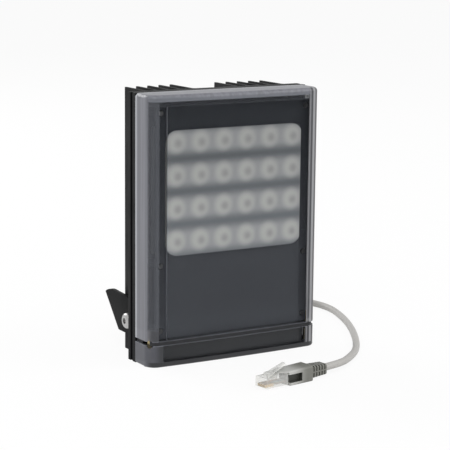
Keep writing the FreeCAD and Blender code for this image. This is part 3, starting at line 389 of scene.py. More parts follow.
@dataclass(frozen=True)
class ClearMoulding:
    """Clear moulded plastic, pale with milk in its side walls, its top and its joint lines.

    The milk there is partly the moulding's own cloudiness and partly painted reflection of the white
    surroundings. The flat front stays clear. The sides take milk as far as bend_y, round the front corners,
    and less so beyond it. Below foot_z nothing shows through, and the front is black. A pair of places says
    where a change starts and ends, and a milk is 0 where the moulding is clear and 1 where nothing shows
    through.
    """

    name: str = "clear_moulding"
    milk_and_reflection: Colour = (0.226, 0.230, 0.260)
    seam: Colour = (0.42, 0.43, 0.46)
    grey: Colour = (0.17, 0.18, 0.205)
    low_corner: Colour = (0.054, 0.056, 0.064)
    cap_side: Colour = (0.084, 0.087, 0.104)
    cap_corner: Colour = (0.080, 0.082, 0.098)
    cap_front: Colour = (0.040, 0.042, 0.047)
    black: Colour = (0.020, 0.021, 0.024)
    # The reflection's colours low and high: a painted reflection, darker towards the top.
    painted_reflection_low: Colour = (0.20, 0.21, 0.24)
    painted_reflection_high: Colour = (0.08, 0.085, 0.10)
    tint: Colour = (0.985, 0.988, 0.992)
    # The right corner's painted bands of light and shade: where each starts, and its colour.
    painted_strips: tuple[tuple[float, Colour], ...] = (
        (58.4 * MM, (0.21, 0.21, 0.225)), (59.6 * MM, (0.055, 0.057, 0.064)),
        (61.3 * MM, (0.33, 0.33, 0.345)), (63.4 * MM, (0.055, 0.055, 0.060)),
    )
    # The middle of the front corners' rounding, and the radii between the wall's inner and outer face.
    corner_centre: Pair = (60.0 * MM, -18.3 * MM)
    wall: Pair = (6.6 * MM, 7.0 * MM)
    # Where a cap screw shows through the corner, and how far that clear view reaches.
    screw: Triple = (66.4 * MM, -23.1 * MM, 16.3 * MM)
    screw_view: Pair = (2.3 * MM, 3.0 * MM)
    # Where each change lies across, back and up.
    corner_x: Pair = (60.3 * MM, 61.3 * MM)
    cap_x: Pair = (57.0 * MM, 57.8 * MM)
    cap_bend: Pair = (58.5 * MM, 64.5 * MM)
    bend_y: Pair = (-24.9 * MM, -20.6 * MM)
    seam_y: Pair = (-8.6 * MM, -7.4 * MM)
    top_z: Pair = (182.0 * MM, 184.0 * MM)
    rim_z: Pair = (180.9 * MM, 181.7 * MM)
    lip_z: Pair = (177.6 * MM, 178.4 * MM)
    low_z: Pair = (24.6 * MM, 29.0 * MM)
    cap_z: Pair = (15.6 * MM, 17.6 * MM)
    painted_reflection_z: Pair = (30.0 * MM, 170.0 * MM)
    foot_z: float = 3.6 * MM
    # The middles of the two edges beside the slot, where pale lines are painted as highlights.
    edge_z: Pair = (15.2 * MM, 18.0 * MM)
    edge_width: float = 0.5 * MM
    # How much higher the top's pale band starts at its left end, and where that ends.
    top_rise: float = 1.7 * MM
    top_rise_x: Pair = (-60.0 * MM, -15.0 * MM)
    side_milk: float = 0.86
    corner_milk: float = 0.36
    strip_milk: float = 0.85
    cap_milk: float = 0.9
    rim_milk: float = 0.74
    lip_milk: float = 0.11
    edge_milk: float = 0.5
    screw_milk: float = 0.1
    streak_scale: float = 420.0
    streak_detail: float = 2.0
    streak_roughness: float = 0.6
    streak_stretch: Triple = (1.0, 1.0, 0.02)
    streak_limits: Pair = (0.35, 0.65)
    streak_shade: float = 0.78
    relief: Relief = Relief(scale=60.0, depth=0.4 * MM, strength=0.15, detail=2.0, roughness=0.5)
    roughness: float = 0.32
    gloss_roughness: float = 0.45
    ior: float = 1.45

    def outer(self, shader: Shader) -> Socket:
        """Tells the outer face of the front and side walls from their inner face.

        Args:
            shader: the material's shader.

        Returns:
            The socket of a factor that is 1 on the outer face.
        """
        across = shader.most(shader.minus(shader.reach, self.corner_centre[0]), 0.0)
        ahead = shader.most(shader.minus(self.corner_centre[1], shader.along(Axis.Y)), 0.0)
        return shader.ramp(shader.length(across, ahead), *self.wall)

    def right_corner(self, shader: Shader) -> Socket:
        """Gives 1 round the right front corner, as far as the bend."""
        start = shader.past(shader.along(Axis.X), self.painted_strips[0][0])
        return shader.times(start, shader.ramp(shader.along(Axis.Y), *self.bend_y, 1.0, 0.0))

    def edges(self, shader: Shader) -> Socket:
        """Finds the two edges beside the slot, which carry painted highlight lines.

        Args:
            shader: the material's shader.

        Returns:
            The socket of a factor that is 1 along them.
        """
        lines = []
        for middle in self.edge_z:
            away = shader.calc("ABSOLUTE", shader.minus(shader.along(Axis.Z), middle))
            lines.append(shader.ramp(away, self.edge_width / 2, self.edge_width, 1.0, 0.0))
        return shader.most(*lines)

    def milk(self, shader: Shader) -> Socket:
        """Works out how much milk each place has.

        Args:
            shader: the material's shader.

        Returns:
            The milk's socket.
        """
        x, y, z = shader.reach, shader.along(Axis.Y), shader.along(Axis.Z)
        low = shader.ramp(x, *self.corner_x, 0.0, self.cap_milk)
        high = shader.ramp(x, *self.corner_x, 0.0, self.corner_milk)
        walls = shader.most(
            shader.ramp(z, *self.low_z, low, high),
            shader.ramp(z, *self.cap_z, shader.ramp(x, *self.cap_x, 0.0, self.cap_milk), 0.0),
            shader.times(shader.ramp(x, *self.corner_x), shader.ramp(y, *self.bend_y, 0.0, self.side_milk)),
            shader.times(self.right_corner(shader), self.strip_milk),
            shader.times(self.edges(shader), self.edge_milk),
        )
        away = shader.length(*(shader.minus(place, middle) for place, middle in zip((x, y, z), self.screw)))
        view = shader.ramp(away, *self.screw_view, self.screw_milk, 1.0)
        milk = shader.times(walls, self.outer(shader), view)
        bands = ((self.top_z, self.side_milk), (self.rim_z, self.rim_milk), (self.lip_z, self.lip_milk))
        return shader.most(milk, *(shader.ramp(z, *limits, 0.0, level) for limits, level in bands))

    def top(self, shader: Shader) -> Socket:
        """Gives 1 on the top, whose pale band, partly painted reflection, is narrower towards its left end.
        """
        rise = shader.ramp(shader.along(Axis.X), *self.top_rise_x, self.top_rise, 0.0)
        return shader.ramp(shader.minus(shader.along(Axis.Z), rise), *self.top_z)

    def colour(self, shader: Shader, side: Socket) -> Socket:
        """Works out the colour where milk shows, partly painted reflection, with painted bands of light and
        shade in the right corner and a darker cap.

        Args:
            shader: the material's shader.
            side: a factor that is 1 on the side walls and the top.

        Returns:
            The colour's socket.
        """
        x, y, z = shader.along(Axis.X), shader.along(Axis.Y), shader.along(Axis.Z)
        pattern = shader.noise(self.streak_scale, self.streak_detail, self.streak_roughness,
                               self.streak_stretch)
        streaks = shader.ramp(pattern, *self.streak_limits)
        milk_and_reflection = shader.blend(streaks, tuple(c * self.streak_shade for c in self.milk_and_reflection), self.milk_and_reflection)
        milk_and_reflection = shader.blend(shader.ramp(y, *self.seam_y), milk_and_reflection, self.seam)
        edges = self.edges(shader)
        cap = shader.blend(shader.ramp(shader.reach, *self.cap_bend), self.cap_front, self.cap_corner)
        cap = shader.blend(edges, shader.blend(side, cap, self.cap_side), self.grey)
        grey = shader.blend(shader.ramp(z, *self.low_z), self.low_corner, self.grey)
        grey = shader.blend(edges, grey, self.grey)
        colour = shader.blend(shader.ramp(z, *self.cap_z), cap, shader.blend(side, grey, milk_and_reflection))
        # Painted bands of light and shade round the right corner.
        strip = self.painted_strips[0][1]
        for start, level in self.painted_strips[1:]:
            strip = shader.blend(shader.past(x, start), strip, level)
        return shader.blend(self.right_corner(shader), colour, strip)

    def build(self) -> bpy.types.Material:
        """Makes the material.

        Returns:
            The finished material.
        """
        shader = Shader(self.name)
        z = shader.along(Axis.Z)
        foot = shader.minus(1.0, shader.past(z, self.foot_z))
        side = shader.most(shader.ramp(shader.along(Axis.Y), *self.bend_y), self.top(shader))
        low = shader.times(foot, shader.minus(1.0, side))
        body = shader.solid(shader.blend(low, self.colour(shader, side), self.black), self.roughness,
                            shader.grained(self.relief))
        # Painted reflection: its colour darkens towards the top.
        gloss = shader.blend(shader.ramp(z, *self.painted_reflection_z), self.painted_reflection_low, self.painted_reflection_high)
        glassy = shader.glassy(self.tint, gloss, self.gloss_roughness, self.ior)
        return shader.finish(shader.mixed(shader.most(self.milk(shader), foot), glassy, body))


@dataclass(frozen=True)
class LensSheet:
    """The slide-in sheet: clear, with sawn edges, and frosted over the window.

    The frosted part shows the lenses behind it as soft pale discs, each with a darker spot: painted light
    that stands for the lit lenses, with painted shade in the lanes between their rows. Its colours are those
    at the window's top, and foot_gain and lane_gain brighten them towards the window's foot as painted light.
    """

    name: str = "lens_sheet"
    edge: Colour = (0.28, 0.29, 0.32)
    # The painted lenses: spot and disc are painted light for the lit lenses behind the sheet, web fills
    # between them, and lane is painted shade between their rows.
    spot: Colour = (0.262, 0.262, 0.255)
    disc: Colour = (0.368, 0.368, 0.353)
    web: Colour = (0.262, 0.268, 0.270)
    lane: Colour = (0.096, 0.103, 0.110)
    tint: Colour = (0.985, 0.99, 0.99)
    gloss: Colour = (0.2, 0.21, 0.24)
    foot_gain: float = 1.2
    lane_gain: float = 1.3
    # How hazy the clear part is at the two heights, and where its sawn end shows. The clear part's milk is
    # partly painted light, stronger towards the foot, which brightens the dark panel seen through the sheet.
    haze_and_light: Pair = (0.068, 0.016)
    haze_z: Pair = (65.0 * MM, 165.0 * MM)
    sawn_x: Pair = (-52.9 * MM, -52.5 * MM)
    sawn_milk: float = 0.9
    # A face whose normal has less than this along Y is one of the sheet's cut edges.
    edge_normal: Pair = (0.7, 0.8)
    window_half: float = 54.4 * MM
    window_low: float = 75.9 * MM
    window_high: float = 161.6 * MM
    window_round: float = 9.0 * MM
    window_border: float = 0.15 * MM
    pitch_x: float = 18.4 * MM
    pitch_z: float = 22.5 * MM
    first_x: float = -46.3 * MM
    first_z: float = 86.1 * MM
    spot_shift: Pair = (1.4 * MM, -0.9 * MM)
    spot_radius: float = 5.2 * MM
    soft_start: float = 3.6 * MM
    soft_end: float = 9.8 * MM
    saw_scale: float = 700.0
    saw_detail: float = 3.0
    saw_roughness: float = 0.6
    saw_stretch: Triple = (1.0, 1.0, 0.1)
    saw_shade: float = 0.85
    frost: Relief = Relief(scale=1500.0, depth=0.02 * MM, strength=0.25, detail=2.0, roughness=0.7)
    roughness: float = 0.5
    specular: float = 0.3
    gloss_roughness: float = 0.45
    ior: float = 1.1

    def offset(self, shader: Shader, axis: Axis, first: float, pitch: float) -> Socket:
        """Works out how far each place is from the nearest lens's middle.

        Args:
            shader: the material's shader.
            axis: the axis that the distance is taken along.
            first: the first lens's place on it.
            pitch: the distance between lenses.

        Returns:
            The distance's socket.
        """
        steps = shader.calc("DIVIDE", shader.minus(shader.along(axis), first), pitch)
        return shader.times(shader.minus(steps, shader.calc("ROUND", steps)), pitch)

    def frosted(self, shader: Shader) -> Socket:
        """Finds the window's rounded rectangle.

        Args:
            shader: the material's shader.

        Returns:
            The socket of a factor that is 1 within it.
        """
        middle = (self.window_low + self.window_high) / 2
        half = (self.window_high - self.window_low) / 2
        up = shader.calc("ABSOLUTE", shader.minus(shader.along(Axis.Z), middle))
        across = shader.most(shader.minus(shader.reach, self.window_half - self.window_round), 0.0)
        upward = shader.most(shader.minus(up, half - self.window_round), 0.0)
        return shader.ramp(shader.length(across, upward), self.window_round - self.window_border,
                           self.window_round + self.window_border, 1.0, 0.0)

    def brightened(self, shader: Shader, colour: object, gain: float) -> Socket:
        """Brightens a colour towards the window's foot, as painted light.

        Args:
            shader: the material's shader.
            colour: the colour at the window's top.
            gain: its factor at the window's foot.

        Returns:
            The colour's socket.
        """
        lift = shader.ramp(shader.along(Axis.Z), self.window_low, self.window_high, gain, 1.0)
        return shader.node("ShaderNodeHueSaturation", Value=lift, Color=colour).outputs[0]

    def lenses(self, shader: Shader) -> Socket:
        """Works out the frosted part's colour: painted pale discs for the lit lenses, and painted shade in
        the lanes between their rows.

        Args:
            shader: the material's shader.

        Returns:
            The colour's socket.
        """
        dx = self.offset(shader, Axis.X, self.first_x, self.pitch_x)
        dz = self.offset(shader, Axis.Z, self.first_z, self.pitch_z)
        spot = shader.length(*(shader.minus(part, shift) for part, shift in zip((dx, dz), self.spot_shift)))
        inner = shader.ramp(spot, 0.0, self.spot_radius)
        outer = shader.ramp(shader.length(dx, dz), self.soft_start, self.soft_end)
        between = shader.ramp(shader.calc("ABSOLUTE", dz), self.soft_start, self.pitch_z / 2)
        web = shader.blend(between, self.web, self.brightened(shader, self.lane, self.lane_gain))
        colour = shader.blend(outer, shader.blend(inner, self.spot, self.disc), web)
        return self.brightened(shader, colour, self.foot_gain)

    def build(self) -> bpy.types.Material:
        """Makes the material.

        Returns:
            The finished material.
        """
        shader = Shader(self.name)
        normal = shader.node("ShaderNodeSeparateXYZ", Vector=shader.coordinates.outputs["Normal"])
        face = shader.calc("ABSOLUTE", normal.outputs[Axis.Y.value])
        # Partly painted light: the clear part's milk grows towards the foot.
        haze_and_light = shader.ramp(shader.along(Axis.Z), *self.haze_z, *self.haze_and_light)
        # The sawn end's pale line is painted only at the left end: partly the edge's own frosting and partly
        # a painted highlight.
        sawn = shader.ramp(shader.along(Axis.X), *self.sawn_x, self.sawn_milk, haze_and_light)
        milk = shader.ramp(face, *self.edge_normal, sawn, haze_and_light)
        window = self.frosted(shader)
        marks = shader.noise(self.saw_scale, self.saw_detail, self.saw_roughness, self.saw_stretch)
        edge = shader.blend(marks, tuple(c * self.saw_shade for c in self.edge), self.edge)
        body = shader.solid(shader.blend(window, edge, self.lenses(shader)), self.roughness,
                            shader.grained(self.frost), self.specular)
        glassy = shader.glassy(self.tint, self.gloss, self.gloss_roughness, self.ior)
        return shader.finish(shader.mixed(shader.most(milk, window), glassy, body))


@dataclass(frozen=True)
class BlackPanel:
    """The bezel's black moulding, painted a little paler towards its foot, as painted light."""

    name: str = "black_panel"
    high: Colour = (0.031, 0.033, 0.037)
    low: Colour = (0.052, 0.054, 0.060)
    foot: Colour = (0.067, 0.070, 0.078)
    high_z: float = 175.0 * MM
    low_z: float = 40.0 * MM
    foot_z: float = 23.0 * MM
    relief: Relief = Relief(scale=1800.0, depth=0.004 * MM, strength=0.2)
    roughness: float = 0.85

    def build(self) -> bpy.types.Material:
        """Makes the material.

        Returns:
            The finished material.
        """
        shader = Shader(self.name)
        # Painted light: paler towards the foot.
        level = shader.ramp(shader.along(Axis.Z), self.low_z, self.high_z)
        above = shader.ramp(shader.along(Axis.Z), self.foot_z, self.low_z)
        colour = shader.blend(above, self.foot, shader.blend(level, self.low, self.high))
        return shader.finish(shader.solid(colour, self.roughness, shader.grained(self.relief), specular=0.0))


@dataclass(frozen=True)
class SlotSeal:
    """The cap's seal: dark rubber, clear beside the two cap screws so that their brass shows."""

    name: str = "slot_seal"
    body: Colour = (0.040, 0.041, 0.044)
    screw: Pair = (63.6 * MM, -17.9 * MM)
    cut: float = 4.8 * MM
    relief: Relief = Relief(scale=900.0, depth=0.05 * MM, strength=0.6)
    roughness: float = 0.7
    specular: float = 0.2

    def build(self) -> bpy.types.Material:
        """Makes the material.

        Returns:
            The finished material.
        """
        shader = Shader(self.name)
        away = shader.length(shader.minus(shader.reach, self.screw[0]),
                             shader.minus(shader.along(Axis.Y), self.screw[1]))
        body = shader.solid(self.body, self.roughness, shader.grained(self.relief), self.specular)
        clear = shader.node("ShaderNodeBsdfTransparent")
        seal = shader.calc("GREATER_THAN", away, self.cut)
        return shader.finish(shader.mixed(seal, clear.outputs[0], body))


@dataclass(frozen=True)
class ClearPlug:
    """The plug's clear plastic."""

    name: str = "clear_plug"
    body: Colour = (0.88, 0.88, 0.86)
    tint: Colour = (0.97, 0.97, 0.96)
    gloss: Colour = (1.0, 1.0, 1.0)
    milk: float = 0.30
    relief: Relief = Relief(scale=220.0, depth=0.6 * MM, strength=0.35, detail=2.0, roughness=0.5)
    roughness: float = 0.18
    gloss_roughness: float = 0.05
    ior: float = 1.5

    def build(self) -> bpy.types.Material:
        """Makes the material.

        Returns:
            The finished material.
        """
        shader = Shader(self.name)
        normal = shader.grained(self.relief)
        body = shader.solid(self.body, self.roughness, normal)
        glassy = shader.glassy(self.tint, self.gloss, self.gloss_roughness, self.ior, Normal=normal)
        return shader.finish(shader.mixed(self.milk, glassy, body))


@dataclass(frozen=True)
class LeadBoot:
    """The plug's grey boot: paler on its tongue, with painted deep shade in its recess and its tail's slots.

    Its places are along the plug and across it, from the front of its block.
    """

    name: str = "lead_boot"
    pale: Colour = (0.52, 0.52, 0.50)
    grey: Colour = (0.185, 0.185, 0.165)
    shade: Colour = (0.048, 0.049, 0.042)
    tongue: Pair = (-6.0 * MM, 10.0 * MM)
    recess: Pair = (-0.1 * MM, 12.0 * MM)
    recess_z: Pair = (2.1 * MM, 8.1 * MM)
    recess_half: float = 6.45 * MM
    tail: float = -24.1 * MM
    slots: int = 5
    slot_pitch: float = 2.6 * MM
    slot_width: float = 1.2 * MM
    slot_half: float = 4.2 * MM
    relief: Relief = Relief(scale=900.0, depth=0.05 * MM, strength=0.4)
    roughness: float = 0.45
    specular: float = 0.4

    def build(self) -> bpy.types.Material:
        """Makes the material.

        Returns:
            The finished material.
        """
        shader = Shader(self.name)
        along, across = shader.plug_axes()
        side = shader.calc("ABSOLUTE", across)
        recess = shader.times(
            shader.within(along, *self.recess),
            shader.within(shader.along(Axis.Z), *self.recess_z),
            shader.calc("LESS_THAN", side, self.recess_half),
        )
        steps = shader.calc("DIVIDE", shader.minus(along, self.tail + self.slot_width), self.slot_pitch)
        slot = shader.times(
            shader.calc("LESS_THAN", shader.calc("FRACT", steps), self.slot_width / self.slot_pitch),
            shader.within(steps, 0.0, float(self.slots)),
            shader.calc("LESS_THAN", side, self.slot_half),
        )
        colour = shader.blend(shader.ramp(along, *self.tongue), self.grey, self.pale)
        # Painted shade in the recess and the slots.
        colour = shader.blend(shader.most(recess, slot), colour, self.shade)
        return shader.finish(shader.solid(colour, self.roughness, shader.grained(self.relief), self.specular))


@dataclass(frozen=True)
class WireFan:
    """The lead's eight wires in the plug, each in its own colour, told apart by their place across it."""

    name: str = "wire_fan"
    pitch: float = 1.02 * MM
    colours: tuple[Colour, ...] = (
        (0.72, 0.45, 0.30), (0.70, 0.22, 0.03), (0.45, 0.62, 0.45), (0.05, 0.14, 0.50),
        (0.42, 0.52, 0.70), (0.04, 0.30, 0.10), (0.60, 0.50, 0.42), (0.16, 0.07, 0.03),
    )
    relief: Relief = Relief(scale=1200.0, depth=0.02 * MM, strength=0.3, detail=2.0, roughness=0.5)
    roughness: float = 0.35

    def build(self) -> bpy.types.Material:
        """Makes the material.

        Returns:
            The finished material.
        """
        shader = Shader(self.name)
        across = shader.plug_axes()[1]
        count = len(self.colours)
        place = shader.calc("ADD", shader.calc("DIVIDE", across, self.pitch * count), 0.5)
        ramp = shader.node("ShaderNodeValToRGB", Fac=place)
        ramp.color_ramp.interpolation = "CONSTANT"
        for k, colour in enumerate(self.colours):
            stop = ramp.color_ramp.elements[0] if k == 0 else ramp.color_ramp.elements.new(k / count)
            stop.color = (*colour, 1.0)
        ramp.color_ramp.elements.remove(ramp.color_ramp.elements[-1])
        return shader.finish(shader.solid(ramp.outputs[0], self.roughness, shader.grained(self.relief)))


def metal(name: str, colour: Colour, roughness: float, metallic: float = 1.0, variation: float = 0.06,
          roughness_variation: float = 0.05, grain_scale: float = 500.0,
          grain_depth: float = 0.02 * MM) -> Finish:
    """A metal's finish: even, with a very fine grain.

    Args:
        name: the finish's name.
        colour: its colour.
        roughness: its roughness.
        metallic: below 1 where an oxide covers the metal.
        variation: how much its colour varies.
        roughness_variation: how much its roughness varies.
        grain_scale: its grain's scale per metre.
        grain_depth: its grain's depth.

    Returns:
        The finish.
    """
    return Finish(name, colour, roughness, metallic, variation=variation,
                  roughness_variation=roughness_variation, grain_scale=grain_scale, grain_depth=grain_depth)


@dataclass(frozen=True)
class Palette:
    """Every finish of the lamp."""

    anodised: Finish = Finish("black_anodised", (0.0055, 0.0058, 0.0065), 0.6, specular=0.15, variation=0.2,
                              grain_scale=700.0, grain_depth=0.06 * MM, grain_stretch=(1.0, 1.0, 0.04))
    powder: Finish = Finish("black_powder_coat", (0.0035, 0.0037, 0.0040), 0.5, specular=0.08, variation=0.2,
                            roughness_variation=0.06, grain_scale=1400.0, grain_depth=0.09 * MM)
    moulding: Finish = Finish("black_moulding", (0.018, 0.019, 0.021), 0.45, roughness_variation=0.06,
                              grain_scale=1600.0, grain_depth=0.05 * MM)
    seal: Finish = Finish("black_seal", (0.012, 0.012, 0.012), 0.7, variation=0.2, roughness_variation=0.05,
                          grain_depth=0.05 * MM)
    cap_seal: SlotSeal = SlotSeal()
    button: Finish = metal("button_head_steel", (0.47, 0.465, 0.46), 0.34)
    steel: Finish = metal("stainless_steel", (0.62, 0.61, 0.60), 0.24)
    dark_steel: Finish = metal("blackened_steel", (0.06, 0.06, 0.062), 0.4, metallic=0.6, variation=0.1)
    brass: Finish = metal("brass", (0.50, 0.42, 0.24), 0.34, variation=0.1, roughness_variation=0.06,
                          grain_scale=600.0)
    gold: Finish = metal("gold_plate", (0.83, 0.58, 0.22), 0.25, grain_scale=600.0, grain_depth=0.01 * MM)
    board: Finish = Finish("diode_board_mask", (0.17, 0.18, 0.175), 0.5, variation=0.06,
                           roughness_variation=0.05, grain_scale=400.0, grain_depth=0.02 * MM)
    green_board: Finish = Finish("green_board_mask", (0.03, 0.16, 0.07), 0.35, roughness_variation=0.05,
                                 grain_scale=500.0, grain_depth=0.02 * MM)
    pad: Finish = Finish("thermal_pad", (0.30, 0.31, 0.34), 0.8, variation=0.1, roughness_variation=0.05,
                         grain_depth=0.05 * MM)
    diode: Finish = Finish("diode_package", (0.5, 0.47, 0.33), 0.35)
    ferrite: Finish = Finish("ferrite", (0.05, 0.05, 0.052), 0.6)
    can: Finish = Finish("capacitor_can", (0.5, 0.5, 0.52), 0.35, 0.9)
    epoxy: Finish = Finish("moulded_epoxy", (0.02, 0.02, 0.02), 0.5)
    nylon: Finish = Finish("natural_nylon", (0.72, 0.71, 0.66), 0.4)
    wire: Finish = Finish("wire_sheath", (0.6, 0.26, 0.08), 0.35)
    sheath: Finish = Finish("grey_sheath", (0.46, 0.45, 0.43), 0.48, variation=0.05, roughness_variation=0.05,
                            grain_scale=500.0)
    boot: LeadBoot = LeadBoot()
    cover: ClearMoulding = ClearMoulding()
    sheet: LensSheet = LensSheet()
    frosted: Finish = Finish("frosted_sheet", (0.42, 0.43, 0.42), 0.6, variation=0.05,
                             roughness_variation=0.05, grain_scale=1500.0, grain_depth=0.02 * MM)
    lens: Finish = Finish("moulded_lens", (0.62, 0.62, 0.60), 0.2, variation=0.05, roughness_variation=0.05,
                          grain_scale=400.0, grain_depth=0.01 * MM)
    fan: WireFan = WireFan()
    panel: BlackPanel = BlackPanel()
    plug: ClearPlug = ClearPlug()


AnyFinish = Finish | ClearMoulding | LensSheet | BlackPanel | SlotSeal | ClearPlug | LeadBoot | WireFan


class Shop:
    """Keeps the loaded frame and dresses nodes and pieces with finishes, each of which is built once.

    Faces that meet within flat_angle become one before a copy's edges are rounded, and only edges that turn
    by more than sharp_angle are rounded.
    """

    flat_angle: float = math.radians(1.0)
    sharp_angle: float = math.radians(55.0)

    def __init__(self, frame: dict) -> None:
        """Starts with nothing built.
        """
        self.nodes = frame["nodes"]
        self.palette = Palette()
        self.built: dict[str, bpy.types.Material] = {}

    def material(self, finish: AnyFinish) -> bpy.types.Material:
        """Finds the material of a finish, and builds it the first time.

        Args:
            finish: the finish.

        Returns:
            Its material.
        """
        if finish.name not in self.built:
            self.built[finish.name] = finish.build()
        return self.built[finish.name]

    def dress(self, name: str, finish: AnyFinish) -> None:
        """Gives a carried-over node its finish.

        Args:
            name: the node's name.
            finish: its finish.
        """
        made = self.nodes[name]
        made.data.materials.clear()
        made.data.materials.append(self.material(finish))
        LOG.info("%s dressed in %s", name, finish.name)

    def piece(self, name: str, shape: bmesh.types.BMesh, finish: AnyFinish, body: Body, slot: str,
              stands_for: str, smooth_angle: float) -> bpy.types.Object:
        """Makes a piece from a mesh and puts it on its body.

        Args:
            name: the piece's name.
            shape: its mesh, which is freed.
            finish: its finish.
            body: the body that it rides on.
            slot: the record's material slot. Not used.
            stands_for: the node that it replaces.
            smooth_angle: edges sharper than this many degrees stay sharp.

        Returns:
            The new object.
        """
        data = bpy.data.meshes.new(name)
        bmesh.ops.remove_doubles(shape, verts=shape.verts, dist=WELD)
        for face in shape.faces:
            face.smooth = True
        for edge in shape.edges:
            joined = len(edge.link_faces) == 2
            edge.smooth = joined and edge.calc_face_angle(0.0) < math.radians(smooth_angle)
        shape.to_mesh(data)
        shape.free()
        data.materials.append(self.material(finish))
        made = bpy.data.objects.new(name, data)
        bpy.context.scene.collection.objects.link(made)
        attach(made, body.value)
        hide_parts(stands_for)
        LOG.info("%s: %d faces on %s", name, len(data.polygons), body.value)
        return made

    def softened(self, name: str, node: str, finish: AnyFinish, body: Body, slot: str, width: float,
                 reshape: Callable[[bmesh.types.BMesh], None] | None = None) -> bpy.types.Object:
        """Makes a piece from a copy of a node's mesh, with its sharp edges rounded.

        Args:
            name: the piece's name.
            node: the node that it is copied from and replaces.
            finish: its finish.
            body: the body that it rides on.
            slot: the record's material slot.
            width: the rounding's width.
            reshape: a function that changes the copy before its edges are rounded.

        Returns:
            The new object.
        """
        shape = bmesh.new()
        shape.from_mesh(self.nodes[node].data)
        bmesh.ops.remove_doubles(shape, verts=shape.verts, dist=WELD)
        if reshape:
            reshape(shape)
        bmesh.ops.dissolve_limit(shape, angle_limit=self.flat_angle, verts=shape.verts, edges=shape.edges)
        joined = [edge for edge in shape.edges if len(edge.link_faces) == 2]
        sharp = [edge for edge in joined if edge.calc_face_angle(0.0) > self.sharp_angle]
        bmesh.ops.bevel(shape, geom=sharp, affect="EDGES", offset=width, segments=2, profile=0.5, material=-1,
                        clamp_overlap=True)
        return self.piece(name, shape, finish, body, slot, node, smooth_angle=20.0)


@dataclass(frozen=True)
class Lamp:
    """A large soft lamp, round, with its diameter in metres and its power in watts."""

    name: str
    place: Triple
    size: float
    power: float


@dataclass
class Studio:
    """White floor, even light and the photograph's camera, whose angles are in degrees."""

    focal_pixels: float = 1658.555
    frame_pixels: float = 450.0
    sensor: float = 36.0
    camera_place: Triple = (-0.582510, -0.987277, 0.301617)
    nearest: float = 0.01
    yaw: float = 30.8069
    pitch: float = 10.4824
    roll: float = 0.5626
    floor_half: float = 20.0
    floor_colour: Colour = (0.92, 0.92, 0.92)
    floor_white: float = 0.9
    world_level: float = 0.75
    aim: Triple = (0.0, 0.0, 0.09)
    lamps: tuple[Lamp, ...] = (
        Lamp("key", (-0.9, -1.3, 1.6), 1.2, 16.0),
        Lamp("fill", (1.5, -0.9, 1.1), 1.4, 9.0),
        Lamp("back", (-0.5, 1.6, 1.0), 1.2, 13.0),
    )

    def build(self) -> None:
        """Makes the camera, the world, the floor and the lamps."""
        self.camera()
        self.world()
        self.floor()
        for lamp in self.lamps:
            self.light(lamp)
        bpy.context.scene.view_settings.view_transform = "Standard"

    def camera(self) -> None:
        """Makes the camera at the photograph's place."""
        yaw, pitch, roll = (math.radians(v) for v in (self.yaw, self.pitch, self.roll))
        ahead = Vector((math.sin(yaw) * math.cos(pitch), math.cos(yaw) * math.cos(pitch), -math.sin(pitch)))
        right = Vector((math.cos(yaw), -math.sin(yaw), 0.0))
        up = right.cross(ahead)
        across = math.cos(roll) * right + math.sin(roll) * up
        upward = -math.sin(roll) * right + math.cos(roll) * up
        data = bpy.data.cameras.new("camera")
        data.sensor_width = self.sensor
        data.lens = self.focal_pixels / self.frame_pixels * self.sensor
        data.clip_start = self.nearest
        made = bpy.data.objects.new("camera", data)
        turned = Matrix((across, upward, -ahead)).transposed().to_4x4()
        made.matrix_world = Matrix.Translation(self.camera_place) @ turned
        bpy.context.scene.collection.objects.link(made)
        bpy.context.scene.camera = made

    def world(self) -> None:
        """Makes the even light, which shows as white behind the floor's edge."""
        world = bpy.data.worlds.new("studio")
        world.use_nodes = True
        tree = world.node_tree
        tree.nodes.clear()
        seen = white_where_seen(tree)
        even, white = tree.nodes.new("ShaderNodeBackground"), tree.nodes.new("ShaderNodeBackground")
        even.inputs["Strength"].default_value = self.world_level
        mix = tree.nodes.new("ShaderNodeMixShader")
        output = tree.nodes.new("ShaderNodeOutputWorld")
        tree.links.new(seen, mix.inputs[0])
        tree.links.new(even.outputs[0], mix.inputs[1])
        tree.links.new(white.outputs[0], mix.inputs[2])
        tree.links.new(mix.outputs[0], output.inputs["Surface"])
        bpy.context.scene.world = world

    def floor(self) -> None:
        """Makes the floor, nearly white to the camera and in reflections, with a faint shadow on it."""
        shape = bmesh.new()
        bmesh.ops.create_grid(shape, x_segments=1, y_segments=1, size=self.floor_half)
        data = bpy.data.meshes.new("floor")
        shape.to_mesh(data)
        shape.free()
        shader = Shader("floor")
        lit = shader.node("ShaderNodeBsdfDiffuse", Color=self.floor_colour)
        white = shader.node("ShaderNodeEmission")
        share = shader.times(white_where_seen(shader.tree), self.floor_white)
        data.materials.append(shader.finish(shader.mixed(share, lit.outputs[0], white.outputs[0])))
        made = bpy.data.objects.new("floor", data)
        bpy.context.scene.collection.objects.link(made)

    def light(self, lamp: Lamp) -> None:
        """Makes a lamp's light, which points at the housing's middle.

        Args:
            lamp: the lamp.
        """
        data = bpy.data.lights.new(lamp.name, "AREA")
        data.shape = "DISK"
        data.size = lamp.size
        data.energy = lamp.power
        made = bpy.data.objects.new(lamp.name, data)
        place = Vector(lamp.place)
        turned = (Vector(self.aim) - place).to_track_quat("-Z", "Y").to_matrix().to_4x4()
        made.matrix_world = Matrix.Translation(place) @ turned
        bpy.context.scene.collection.objects.link(made)


